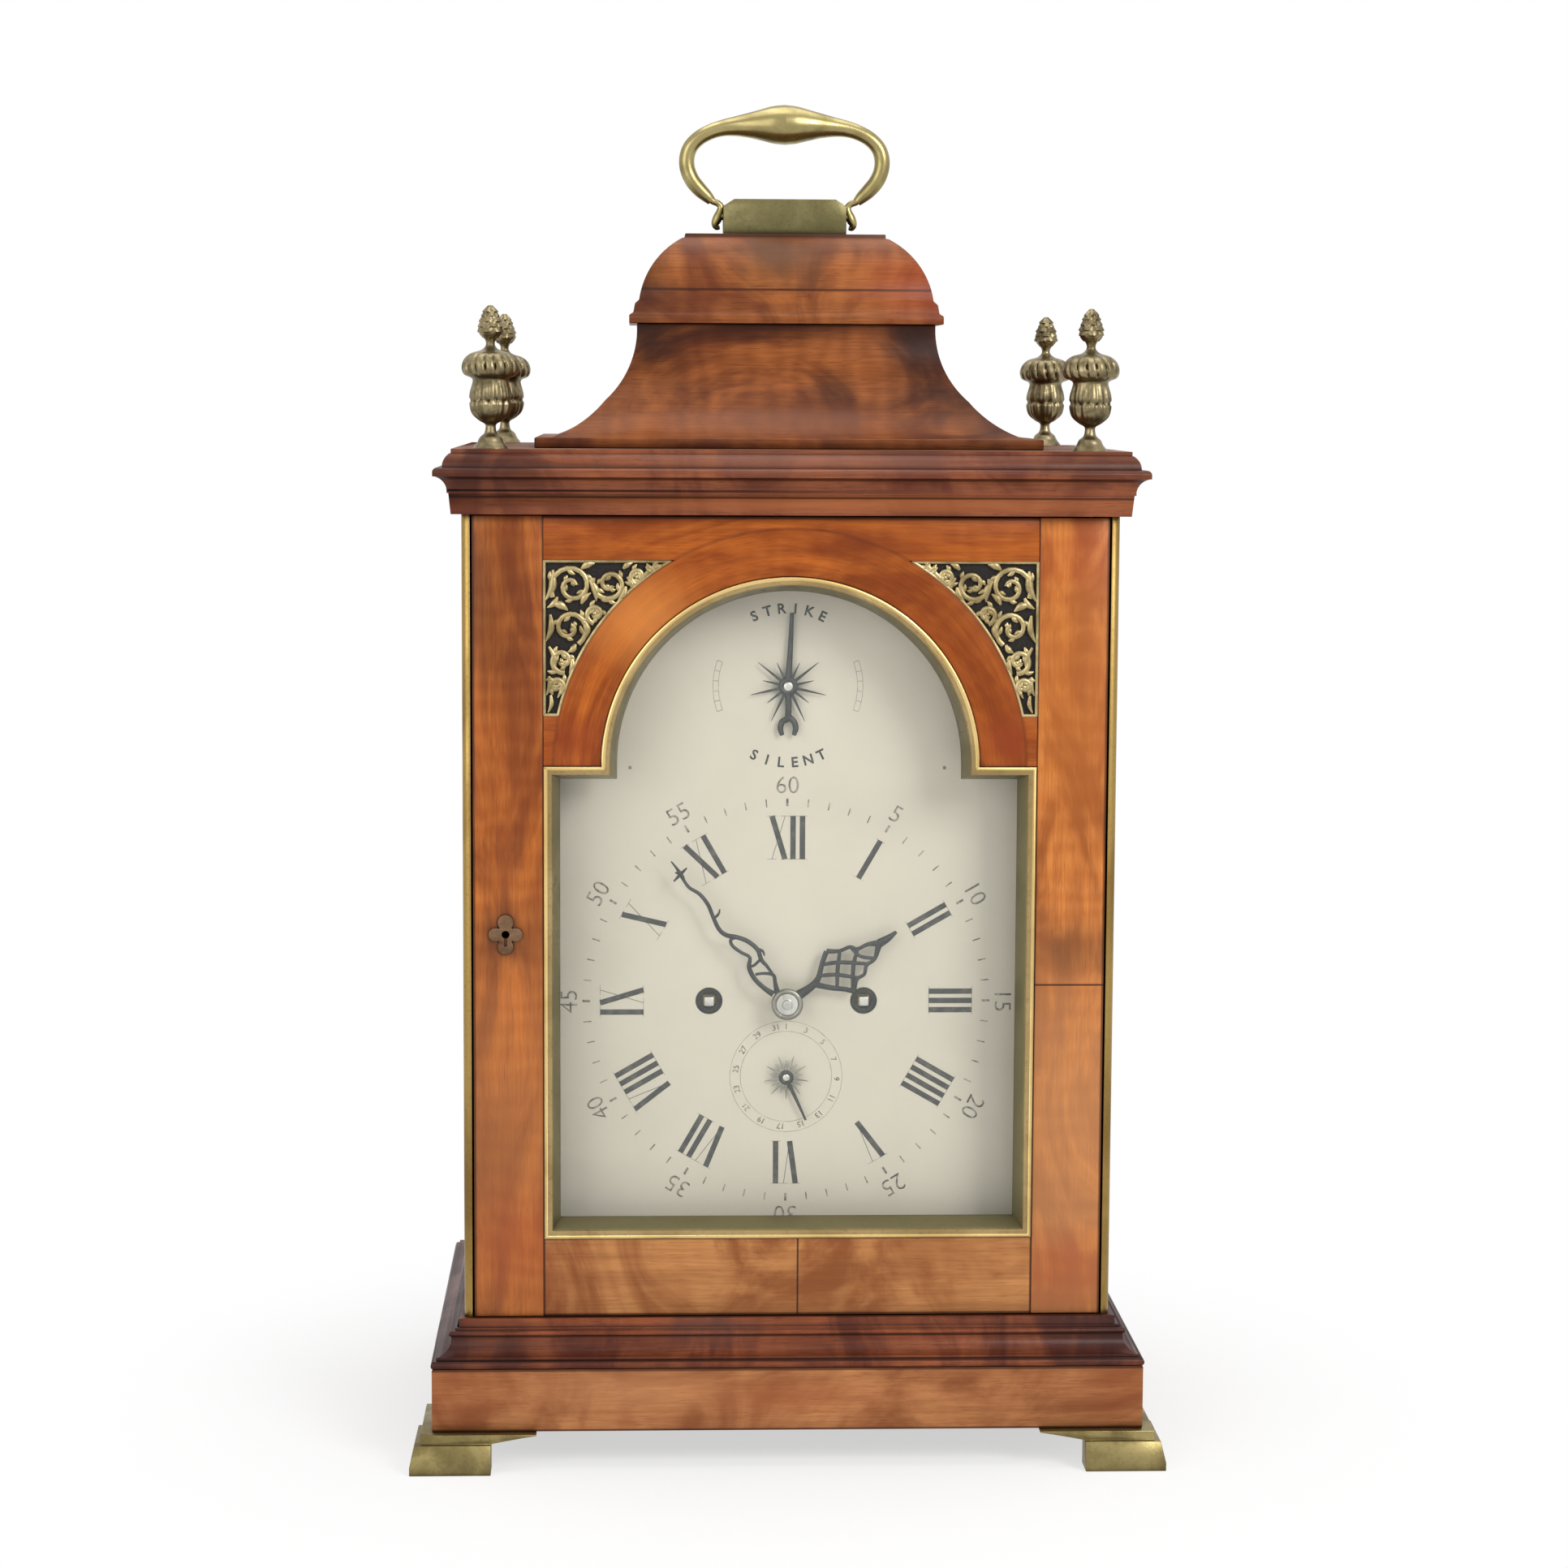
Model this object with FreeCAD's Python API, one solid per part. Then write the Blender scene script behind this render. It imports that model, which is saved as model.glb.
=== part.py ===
import FreeCAD, Part
import math
import os

# A bell-top bracket clock, in millimetres. X runs to the right as the dial is faced, Y from
# the front to the back, and Z up. The origin is on the surface the clock stands on, under
# the middle of the case. Turning joints run front to back unless a comment says otherwise.

# ---- case sizes
case_width = 245.0
case_depth = 170.0
body_height = 303.5
panel_thickness = 10.0
plinth_height = 24.0
plinth_projection = 11.8
plinth_board = 14.0
foot_projection = 8.2
foot_pad_height = 11.0
foot_plate_height = 3.5
foot_toe_height = 3.0
foot_taper = 1.9
foot_arm_length = 30.5
foot_arm_width = 12.0
foot_plate_inset = 4.0
foot_plate_width = 11.0
foot_wing_length = 17.0
foot_wing_sag = 1.6
foot_wing_tip = 0.5
strip_width = 3.2
strip_round = 3.0

# moulding outlines: distance out from the body, then height above the moulding's foot
base_outline = [(0, 0), (11.3, 0), (12.2, 1.5, 11.3, 3.0), (10.2, 3.0), (10.2, 4.2), (9.2, 4.2),
                (5.9, 6.6, 4.8, 11.0), (5.6, 12.0, 4.8, 13.0), (3.4, 13.0), (3.4, 14.0),
                (2.0, 14.0), (2.0, 17.0), (0, 17.0)]
cornice_outline = [(0, 0), (3.6, 0), (4.4, 7.8), (5.0, 7.8), (5.0, 9.0), (6.4, 12.2, 9.4, 14.0),
                   (10.0, 14.0), (10.0, 15.3), (9.6, 16.6, 8.2, 17.2), (6.6, 17.2),
                   (6.2, 19.6, 3.9, 22.4), (3.5, 22.4), (3.5, 24.0), (0, 24.0)]
base_moulding_height = base_outline[-1][1]
cornice_height = cornice_outline[-1][1]

# ---- bell top: half width, then height above the cornice
step_half_width = 96.0
step_half_depth = 62.0
step_height = 4.0
bell_outline = [(89.6, 4.0), (78.6, 9.6, 69.6, 18.0), (60.4, 31.0, 57.5, 47.5)]
cap_outline = [(60.5, 47.5), (60.5, 50.6), (58.9, 51.6), (58.3, 55.0), (56.7, 56.4),
               (51.8, 69.6, 39.9, 80.6), (38.9, 80.6), (38.9, 82.3)]
bell_depth_share = 0.909
cap_depth_share = 0.72

# ---- handle and its plate
handle_plate_half_width = 23.9
handle_plate_half_depth = 8.0
handle_plate_height = 13.6
handle_plate_bevel = 4.2
handle_plate_bevel_height = 2.7
handle_pivot_height = 7.3
handle_pin_radius = 1.6
handle_pin_length = 7.0
handle_pin_end_gap = 0.5
eye_gap = 0.3
eye_radius = 2.3
eye_half_height = 3.0
loop_radius = 2.3
loop_reach = 38.6
loop_widest_height = 28.7
loop_heel_x = 27.9
loop_heel_height = 13.2
grip_end_lean = 0.35

# the grip, from its middle out: distance from the middle, height above the cap, radius
grip_sections = [(0, 42.6, 7.75), (6.2, 42.5, 6.9), (14.6, 42.0, 4.5), (21.0, 41.5, 3.15),
                 (27.4, 40.35, 2.3)]

# ---- finials: radius, then height above the cornice
finial_outline = [(0, 0), (6.3, 0), (6.2, 1.3), (5.2, 2.6, 4.3, 4.3), (3.0, 6.0), (2.4, 8.6),
                  (4.3, 10.7), (7.2, 14.4, 7.5, 17.1), (7.4, 21.4), (6.8, 25.7), (9.5, 27.4),
                  (10.5, 30.0), (8.8, 33.4), (7.3, 35.1), (2.4, 36.8), (1.6, 38.5), (2.4, 41.5),
                  (4.5, 42.8), (4.3, 45.4, 3.5, 47.1), (2.2, 51.4), (0, 53.3)]
finial_inset_x = 10.7
finial_inset_y = 10.7
finial_spigot_radius = 1.8
finial_spigot_length = 6.0

# ---- front door
door_thickness = 18.0
door_end_gap = 0.5
door_side_gap = 0.7
stile_width = 26.3
bottom_rail_height = 29.6
arch_shoulder = 21.4
arch_top_margin = 22.3
arch_band = 17.6
spandrel_top_margin = 16.5
spandrel_foot_rise = 18.7
ring_face = 3.1
ring_splay = 6.0
ring_proud = 0.4
ring_depth = 12.6
door_glass_thickness = 2.0
fret_recess = 0.4
fret_thickness = 1.2
fret_border = 1.3
fret_bar = 1.0
cloth_thickness = 0.5
pivot_inset = 7.0
pivot_setback = 2.4
pivot_pin_radius = 1.2
pivot_pin_length = 5.5
pivot_plate_thickness = 1.5
pivot_plate_length = 16.0
pivot_plate_width = 12.0
pivot_plate_margin = 0.4
pivot_plate_end = 2.0
pivot_hole_bottom = 0.5
door_back_swing_room = 1.8
lock_x_inset = 12.1
lock_rise = 146.0
lock_height = 24.0
lock_width = 15.0
lock_thickness = 8.5
bolt_height = 8.0
bolt_thickness = 2.4
bolt_length = 10.0
bolt_throw = 4.5
bolt_setback = 4.0
bolt_slot_gap = 0.4
lock_side_gap = 1.2
keyhole_plate_thickness = 0.8
keyhole_radius = 1.5
keyhole_slot_width = 1.2
keyhole_slot_drop = 4.4

# lobes of the keyhole plate: distance across and up from the keyhole, radius
keyhole_lobes = [(0, 4.6, 2.9), (0, -4.6, 2.9), (3.8, 0, 2.5), (-3.8, 0, 2.5), (0, 0, 3.4)]
# curled bars of the frets: distance in from the stile, distance down from the top, radius
fret_curls = [(7.0, 7.0, 7.0), (19.0, 7.0, 6.4), (30.5, 6.6, 6.0), (39.5, 4.6, 3.6), (7.0, 19.5, 6.6),
              (17.6, 18.0, 5.6), (6.0, 31.0, 5.8), (14.0, 28.0, 4.0), (4.4, 41.5, 5.2), (3.0, 51.0, 4.6),
              (26.5, 15.8, 4.2)]

# ---- back door
back_door_thickness = 14.0
back_door_rail = 24.0
back_rebate = 4.0
back_glass_thickness = 2.0
back_hinge_gap = 0.6
back_lock_gap = 1.0
hinge_end_distance = 45.0
knuckle_count = 5
knuckle_length = 6.0
knuckle_radius = 1.9
knuckle_stand_off = 0.1
hinge_pin_radius = 0.8
leaf_thickness = 1.2
leaf_width = 9.0
leaf_margin = 0.3

# ---- dial and surround
dial_setback = 28.0
dial_thickness = 2.0
dial_centre_rise = 116.5
dial_margin = 2.7
dial_overlap = 4.4
dial_foot_radius = 2.0
dial_foot_x = 60.0
upper_foot_rise = 90.0
lower_foot_drop = 74.0
surround_thickness = 10.0
centre_hole_radius = 4.5
winding_hole_radius = 5.2
silent_arbor_rise = 27.9
date_arbor_drop = 29.5
small_arbor_radius = 1.2
silent_hand_length = 28.0
silent_star_radius = 14.7
silent_star_rays = 16
star_hub_share = 0.3
small_needle_root = 1.9
small_needle_tip = 0.75
date_hand_length = 18.3
date_hand_angle = -65.6
date_star_radius = 8.6
date_star_rays = 16
small_hand_gap = 1.6
small_hand_thickness = 1.0

# forked tail of the strike and silent hand, one side: distance from its middle, height above the tail
silent_tail = [(1.6, 18.8), (1.1, 5.0), (3.0, 0.6), (2.2, 0), (0, 3.6)]

# ---- main hands; angles run anticlockwise from three o'clock, as the dial is faced
hour_hand_length = 50.0
hour_hand_angle = 33.25
minute_hand_length = 71.0
minute_root_half = 1.1
minute_tip_half = 0.4
minute_cross_from_tip = 8.5
minute_cross_half = 4.4
hand_bar = 1.1
minute_hand_angle = 129.0
hand_thickness = 1.2
hour_hand_gap = 4.0
hand_spacing = 1.6
collet_radius = 6.1
collet_thickness = 1.6
collet_bevel = 1.0

# edge of the hour hand's leaf, one side: distance along the hand, distance from its middle
hour_leaf = [(3.5, 1.2), (11.0, 2.6), (15.5, 6.8, 24.0, 7.6), (33.0, 5.7, 38.0, 1.6)]
hour_tip_half = 0.3
hub_wall = 2.0
# holes through the hour hand: distance along it, distance from its middle, radius
hour_piercings = [(15.5, 2.4, 1.6), (20.0, 4.6, 1.7), (20.4, 0, 1.8), (25.0, 2.3, 1.7),
                  (24.6, 6.0, 0.9), (29.4, 4.2, 1.5), (30.4, 0, 1.7), (34.4, 1.9, 1.1)]
# loops of the minute hand: distance along it, distance from its middle, radius
minute_loops = [(11.5, 2.6, 3.0), (18.0, 2.2, 3.0), (25.0, 1.8, 2.6), (33.0, 1.2, 2.0)]

# ---- movement frame
plate_thickness = 2.5
plate_spacing = 52.0
plate_gap = 0.5
plate_half_width = 74.0
plate_drop = 84.0
plate_top_rise = 96.0
pillar_inset = 8.0
pillar_radius = 3.5
pillar_belly = 5.5
pillar_spigot = 2.5
pillar_ring = 2.0
pillar_neck = 1.5
pillar_belly_length = 16.0
seat_thickness = 10.0
seat_overhang = 1.0
batten_width = 12.0
batten_height = 16.0
batten_end_gap = 12.0
fit = 0.05
pivot_overrun = 0.4
motion_gap = 0.8
hour_wheel_gap = 6.2
minute_arbor_radius = 0.6
arbor_radius = 0.9
centre_arbor_radius = 1.5
arbor_tip = 1.0
pipe_wall = 1.0
hour_pipe_wall = 0.85

# ---- gears
winding_offset = 29.7
great_teeth = 96
centre_pinion_leaves = 8
centre_teeth = 84
centre_module = 0.5
third_leaves = 7
third_teeth = 90
third_module = 0.4
escape_leaves = 7
escape_teeth = 30
escape_radius = 15.0
escape_tooth_depth = 3.0
escape_lean = 0.45
escape_rim = 1.4
escape_arm = 1.6
third_direction = 110.0
motion_teeth = 40
motion_module = 0.45
minute_leaves = 6
hour_teeth = 72
motion_direction = 120.0
strike_great_teeth = 84
strike_module = 0.55
pin_leaves = 8
pin_teeth = 70
pin_module = 0.4
fly_leaves = 7
pin_direction = 127.0
fly_direction = 150.0
wheel_thickness = 1.5
great_thickness = 2.5
wheel_hub_radius = 3.0
pinion_overlap = 0.5
lifting_pins = 8
lifting_pin_circle = 12.6
lifting_pin_radius = 0.7
lifting_pin_length = 3.0
great_layer = 33.0
centre_layer = 42.0
third_layer = 46.2
escape_layer = 22.0
pin_layer = 43.0
# a crossed-out wheel's rim as a share of its width, then its hub and arms as shares of the space inside
rim_share = 0.06
hub_share = 0.28
arm_share = 0.12
# flanks of teeth: height over the pitch circle in modules, half thickness in tooth spacings
tooth_outline = ((-1.4, 0.27), (0.8, 0.09))
leaf_outline = ((-1.5, 0.15), (0.0, 0.15), (0.5, 0.05))

# ---- fusees and barrels
fusee_small_radius = 8.0
fusee_large_radius = 18.0
fusee_turns = 9
groove_depth = 0.8
fusee_front = 9.0
fusee_arbor_radius = 3.0
fusee_wheel_gap = 0.3
collar_wall = 2.5
winding_square = 4.2
square_recess = 1.4
barrel_radius = 20.0
barrel_wall = 1.5
barrel_offset = 36.0
barrel_drop = 54.0

# ---- escapement, pendulum, bell and hammer
pallet_rise_share = 1.4142
# edge of the anchor, one side, in escape wheel radii: distance from its middle, height over its arbor
pallet_outline = [(0, 0.267), (0.66, 0), (1.04, -0.427), (1.0, -0.68), (0.84, -0.587), (0.76, -0.36),
                  (0, -0.187)]
cock_setback = 6.5
cock_thickness = 2.5
cock_half_width = 20.0
cock_half_height = 9.0
cock_foot_width = 7.0
lug_half_width = 5.0
lug_rise = 2.5
lug_overhang = 4.0
lug_slot = 1.8
lug_slot_gap = 0.5
crutch_length = 42.0
crutch_thickness = 1.2
crutch_width = 4.0
crutch_setback = 2.0
crutch_eye = 3.0
prong_thickness = 1.4
prong_overhang = 1.5
crutch_fork_gap = 0.5
pendulum_setback = 15.5
pendulum_length = 150.3
rod_radius = 1.4
bob_radius = 17.0
bob_half_thickness = 4.0
bob_edge = 0.8
# a point of the bob's face, as shares of its radius and half thickness
bob_round = (0.6, 0.8)
stem_below_bob = 5.0
rating_nut_radius = 3.8
rating_nut_height = 3.0
clasp_drop = 4.0
clasp_height = 5.0
clasp_half_width = 1.6
spring_rise = 4.6
spring_thickness = 0.2
spring_width = 5.0
bell_radius = 38.0
bell_height = 24.0
bell_wall = 2.0
bell_shoulder_share = 0.42
# a point half way up the bell's side, as shares of its radius and height
bell_middle = (0.93, 0.62)
bell_mouth_rise = 118.0
bell_setback = 1.5
stand_width = 12.0
stand_foot_rise = 80.0
stand_thickness = 2.5
stud_radius = 2.0
stud_root = 3.0
stud_rise = 6.0
bell_nut_radius = 4.0
bell_nut_height = 3.0
hammer_x = 50.0
hammer_rise = 68.0
hammer_layer = 45.0
hammer_head_radius = 3.5
hammer_head_length = 8.0
hammer_head_rise = 4.0
hammer_gap = 1.4
hammer_arm_width = 2.4
hammer_tail_gap = 1.0
fly_half_width = 7.5
fly_length = 20.0
fly_thickness = 0.8
fly_front = 12.0

# ---- heights and planes that follow
half_width = case_width / 2
half_depth = case_depth / 2
plinth_bottom = foot_pad_height + foot_plate_height
plinth_top = plinth_bottom + plinth_height
body_bottom = plinth_top + base_moulding_height
body_top = body_bottom + body_height
cornice_top = body_top + cornice_height
cap_top = cornice_top + cap_outline[-1][1]
door_front = -half_depth
door_back = door_front + door_thickness
door_bottom = body_bottom + door_end_gap
door_top = body_top - door_end_gap
lip_inner = half_width - strip_width
door_half = lip_inner - door_side_gap
stile_inner = door_half - stile_width
opening_bottom = door_bottom + bottom_rail_height
arch_radius = stile_inner - arch_shoulder
arch_z = door_top - arch_top_margin - arch_radius
panel_inner = half_width - panel_thickness
dial_front = door_front + dial_setback
dial_back = dial_front + dial_thickness
surround_back = dial_back + surround_thickness
centre_z = body_bottom + dial_centre_rise
plate_front = surround_back + plate_gap
plates_in = plate_front + plate_thickness
plates_out = plates_in + plate_spacing
plate_back = plates_out + plate_thickness
plate_bottom = centre_z - plate_drop
plate_top = centre_z + plate_top_rise
great_module = 2 * winding_offset / (great_teeth + centre_pinion_leaves)
third_distance = centre_module * (centre_teeth + third_leaves) / 2
third_x = third_distance * math.cos(math.radians(third_direction))
third_z = centre_z + third_distance * math.sin(math.radians(third_direction))
escape_distance = third_module * (third_teeth + escape_leaves) / 2
escape_z = third_z + math.sqrt(escape_distance ** 2 - third_x ** 2)
pallet_z = escape_z + escape_radius * pallet_rise_share
motion_distance = motion_teeth * motion_module
hour_module = 2 * motion_distance / (minute_leaves + hour_teeth)
minute_x = motion_distance * math.cos(math.radians(motion_direction))
minute_z = centre_z + motion_distance * math.sin(math.radians(motion_direction))
pin_distance = strike_module * (strike_great_teeth + pin_leaves) / 2
pin_x = -winding_offset + pin_distance * math.cos(math.radians(pin_direction))
pin_z = centre_z + pin_distance * math.sin(math.radians(pin_direction))
fly_distance = pin_module * (pin_teeth + fly_leaves) / 2
fly_x = pin_x + fly_distance * math.cos(math.radians(fly_direction))
fly_z = pin_z + fly_distance * math.sin(math.radians(fly_direction))
barrel_z = centre_z - barrel_drop
great_y = plates_in + great_layer
cock_y = plate_back + cock_setback
pendulum_y = plate_back + pendulum_setback
bell_y = plate_back + bell_setback
bell_mouth_z = centre_z + bell_mouth_rise
hour_hand_y = dial_front - hour_hand_gap - hand_thickness
minute_hand_y = hour_hand_y - hand_spacing - hand_thickness
hour_wheel_y = plate_front - hour_wheel_gap
cannon_pipe_radius = centre_arbor_radius + pipe_wall
hour_pipe_radius = cannon_pipe_radius + fit + hour_pipe_wall
pivot_x = door_half - pivot_inset
pivot_y = door_front + pivot_setback
back_door_inner = half_depth - back_door_thickness
hinge_axis_x = -(panel_inner - back_hinge_gap / 2)
hinge_axis_y = half_depth + knuckle_radius + knuckle_stand_off
handle_pivot_z = cap_top + handle_pivot_height


# ---- shapes
def pt(x, y, z):
    return FreeCAD.Vector(x, y, z)


def facing(y):
    """places (across, up) in the upright plane at y"""
    return lambda a, b: pt(a, y, b)


def level(z):
    """places (across, back) in the level plane at z"""
    return lambda a, b: pt(a, b, z)


def box(x0, x1, y0, y1, z0, z1):
    return Part.makeBox(x1 - x0, y1 - y0, z1 - z0, pt(x0, y0, z0))


def rod(radius, x, z, y0, y1):
    """round bar lying front to back"""
    return Part.makeCylinder(radius, y1 - y0, pt(x, y0, z), pt(0, 1, 0))


def post(radius, x, y, z0, z1):
    """round upright bar"""
    return Part.makeCylinder(radius, z1 - z0, pt(x, y, z0), pt(0, 0, 1))


def outline_wire(points, place):
    """closed wire; a point of four numbers ends an arc that passes through its first two"""
    closed = list(points) + [points[0]]
    edges = []
    for here, there in zip(closed, closed[1:]):
        start = place(*here[-2:])
        end = place(*there[-2:])
        if len(there) == 4:
            edges.append(Part.Arc(start, place(*there[:2]), end).toShape())
        else:
            edges.append(Part.LineSegment(start, end).toShape())
    return Part.Wire(edges)


def outline_face(points, place):
    return Part.Face(outline_wire(points, place))


def slab(points, y0, y1):
    """outline in the upright plane, thickened from y0 back to y1"""
    return outline_face(points, facing(y0)).extrude(pt(0, y1 - y0, 0))


def turned_upright(points, x, y):
    """outline of (radius, height) turned about an upright axis"""
    face = outline_face(points, lambda r, z: pt(x + r, y, z))
    return face.revolve(pt(x, y, 0), pt(0, 0, 1), 360)


def turned_lying(points, x, z):
    """outline of (radius, place along Y) turned about a front to back axis"""
    face = outline_face(points, lambda r, y: pt(x + r, y, z))
    return face.revolve(pt(x, 0, z), pt(0, 1, 0), 360)


def joined(shapes):
    first, rest = shapes[0], shapes[1:]
    return first.fuse(rest).removeSplitter() if rest else first


def less(shape, holes):
    return shape.cut(holes) if holes else shape


def mirrored(shape):
    """the other hand of a shape, across the middle of the clock"""
    return shape.mirror(pt(0, 0, 0), pt(1, 0, 0))


def spun(shape, x, z, degrees):
    """copy turned anticlockwise as the dial is faced, about a front to back axis"""
    copy = shape.copy()
    copy.rotate(pt(x, 0, z), pt(0, 1, 0), -degrees)
    return copy


def arched(inset):
    """outline of the arched door opening, drawn in by inset on every side, or out if negative"""
    w = stile_inner - inset
    low = opening_bottom + inset
    r = arch_radius - inset
    shoulder = arch_z - inset
    if inset > 0:
        return [(-w, low), (w, low), (w, shoulder), (r, shoulder), (r, arch_z), (0, arch_z + r, -r, arch_z),
                (-r, shoulder), (-w, shoulder)]
    spring = math.sqrt(r * r - inset * inset)
    return [(-w, low), (w, low), (w, shoulder), (spring, shoulder), (0, arch_z + r, -spring, shoulder),
            (-w, shoulder)]


def mitred(outline, foot):
    """four lengths of moulding round the body, mitred at the corners"""
    lengths = []
    reach = max(point[0] for point in outline) + 1
    inner = min(point[0] for point in outline)
    for quarter, (run, off) in enumerate([(half_width, half_depth), (half_depth, half_width)] * 2):
        section = outline_face(outline, lambda p, z: pt(-run - reach, -off - p, foot + z))
        bar = section.extrude(pt(2 * (run + reach), 0, 0))
        wedge = [(-run - inner, -off - inner), (run + inner, -off - inner),
                 (run + reach, -off - reach), (-run - reach, -off - reach)]
        corner = outline_face(wedge, level(foot - 1)).extrude(pt(0, 0, outline[-1][1] + 2))
        length = bar.common(corner)
        length.rotate(pt(0, 0, 0), pt(0, 0, 1), 90 * quarter)
        lengths.append(length)
    return lengths


# ---- case
def foot():
    """the right front foot: a toed pad with an arm each way, under a plate with two wings"""
    outer_x = half_width + plinth_projection + foot_projection
    outer_y = half_depth + plinth_projection + foot_projection

    def pad(draw, z):
        x, y = outer_x - draw, outer_y - draw
        long_x, long_y = outer_x - foot_arm_length, outer_y - foot_arm_length
        thick = foot_arm_width
        corners = [(x, -y), (x, -long_y), (outer_x - thick, -long_y), (outer_x - thick, thick - outer_y),
                   (long_x, thick - outer_y), (long_x, -y)]
        return outline_wire(corners, level(z))

    toe = Part.makeLoft([pad(0, 0), pad(0, foot_toe_height)], True, True)
    ankle = Part.makeLoft([pad(0, foot_toe_height), pad(foot_taper, foot_pad_height)], True, True)

    def wing(outer, place, run):
        root = outer - foot_arm_length
        tip = root - foot_wing_length
        low, high = foot_pad_height, plinth_bottom
        points = [(outer - foot_plate_inset, low), (root, low),
                  ((root + tip) / 2, low + foot_wing_sag, tip, high - foot_wing_tip),
                  (tip, high), (outer - foot_plate_inset, high)]
        return outline_face(points, place).extrude(run)

    front_y = foot_plate_inset - outer_y
    side_x = outer_x - foot_plate_inset
    front = wing(outer_x, facing(front_y), pt(0, foot_plate_width, 0))
    side = wing(outer_y, lambda a, b: pt(side_x, -a, b), pt(-foot_plate_width, 0, 0))
    return joined([toe, ankle, front, side])


def bracket_feet():
    one = foot()
    back = one.mirror(pt(0, 0, 0), pt(0, 1, 0))
    return [one, mirrored(one), back, mirrored(back)]


def plinth_boards():
    """four boards standing on the feet, flush outside with the plinth"""
    out = plinth_projection
    section = [(out - plinth_board, 0), (out, 0), (out, plinth_height), (out - plinth_board, plinth_height)]
    return mitred(section, plinth_bottom)


def bottom_board():
    board = box(-half_width, half_width, -half_depth, half_depth, plinth_top, body_bottom)
    depth = pivot_pin_length + pivot_hole_bottom
    return less(board, [post(pivot_pin_radius + fit, pivot_x, pivot_y, body_bottom - depth, body_bottom)])


def top_board():
    board = box(-half_width, half_width, -half_depth, half_depth, body_top, cornice_top)
    depth = pivot_pin_length + pivot_hole_bottom
    holes = [post(pivot_pin_radius + fit, pivot_x, pivot_y, body_top, body_top + depth)]
    for x, y in finial_places():
        holes.append(post(finial_spigot_radius, x, y, cornice_top - finial_spigot_length, cornice_top))
    return less(board, holes)


def side_panels():
    """sides with a rebate at the front that the door shuts into, and a slot for the lock bolt"""
    shoulder = door_back + door_back_swing_room
    plan = [(panel_inner, shoulder), (lip_inner, shoulder), (lip_inner, door_front + strip_width),
            (half_width, door_front + strip_width), (half_width, half_depth), (panel_inner, half_depth)]
    right = outline_face(plan, level(body_bottom)).extrude(pt(0, 0, body_height))
    bolt_front = door_back + bolt_setback
    gap = bolt_slot_gap
    slot = box(-panel_inner - bolt_throw, -panel_inner, bolt_front - gap, bolt_front + bolt_thickness + gap,
               lock_z - bolt_height / 2 - gap, lock_z + bolt_height / 2 + gap)
    return [less(mirrored(right), [slot]), right]


def corner_strips():
    inner, outer = lip_inner, half_width
    turn = strip_round * (1 - math.sqrt(0.5))
    plan = [(inner, door_front), (outer - strip_round, door_front),
            (outer - turn, door_front + turn, outer, door_front + strip_round),
            (outer, door_front + strip_width), (inner, door_front + strip_width)]
    right = outline_face(plan, level(body_bottom)).extrude(pt(0, 0, body_height))
    return [right, mirrored(right)]


def bell_half_depth(w):
    """half depth of the bell's lower part, where its half width is w"""
    return step_half_depth + (w - step_half_width) * bell_depth_share


def cap_half_depth(w):
    neck = bell_outline[-1][-2]
    return bell_half_depth(neck) + (w - neck) * cap_depth_share


def two_way(outline, depth_of):
    """form with a curved outline both ways: the front outline run back, shared with the side one"""
    def closed(half):
        points = []
        for point in outline:
            if len(point) == 4:
                points.append((half(point[0]), point[1], half(point[2]), point[3]))
            else:
                points.append((half(point[0]), point[1]))
        return points

    def run(points, place, along):
        whole = [(0, points[0][1])] + points + [(0, points[-1][-1])]
        return outline_face(whole, place).extrude(along)

    reach = step_half_width
    wide = run(closed(lambda w: w), lambda a, b: pt(a, -reach, cornice_top + b), pt(0, 2 * reach, 0))
    deep = run(closed(depth_of), lambda a, b: pt(-reach, a, cornice_top + b), pt(2 * reach, 0, 0))
    wide = joined([wide, mirrored(wide)])
    deep = joined([deep, deep.mirror(pt(0, 0, 0), pt(0, 1, 0))])
    return wide.common(deep)


def bell_top_body():
    step = box(-step_half_width, step_half_width, -step_half_depth, step_half_depth,
               cornice_top, cornice_top + step_height)
    return joined([step, two_way(bell_outline, bell_half_depth)])


def bell_top_cap():
    return two_way(cap_outline, cap_half_depth)


def handle_plate():
    w, top = handle_plate_half_width, cap_top + handle_plate_height
    bevel = handle_plate_bevel
    shoulder = top - handle_plate_bevel_height
    points = [(-w, cap_top), (w, cap_top), (w, shoulder), (w - bevel, top), (bevel - w, top), (-w, shoulder)]
    block = slab(points, -handle_plate_half_depth, handle_plate_half_depth)
    length = handle_pin_length + handle_pin_end_gap
    right = Part.makeCylinder(handle_pin_radius + fit, length, pt(w - length, 0, handle_pivot_z), pt(1, 0, 0))
    return less(block, [right, mirrored(right)])


def quarter_loop(start, reach, widest):
    """round bar from start to the loop's widest point, where it runs upright"""
    dx, dz = reach - start[0], abs(widest - start[1])
    radius = (dx * dx + dz * dz) / (2 * dx)
    middle_x = reach - radius
    angle = math.atan2(start[1] - widest, start[0] - middle_x) / 2
    via = (middle_x + radius * math.cos(angle), widest + radius * math.sin(angle))
    arc = Part.Arc(pt(start[0], 0, start[1]), pt(via[0], 0, via[1]), pt(reach, 0, widest)).toShape()
    ring = Part.makeCircle(loop_radius, arc.valueAt(arc.FirstParameter), arc.tangentAt(arc.FirstParameter))
    return Part.Wire([arc]).makePipeShell([Part.Wire([ring])], True, False)


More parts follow.
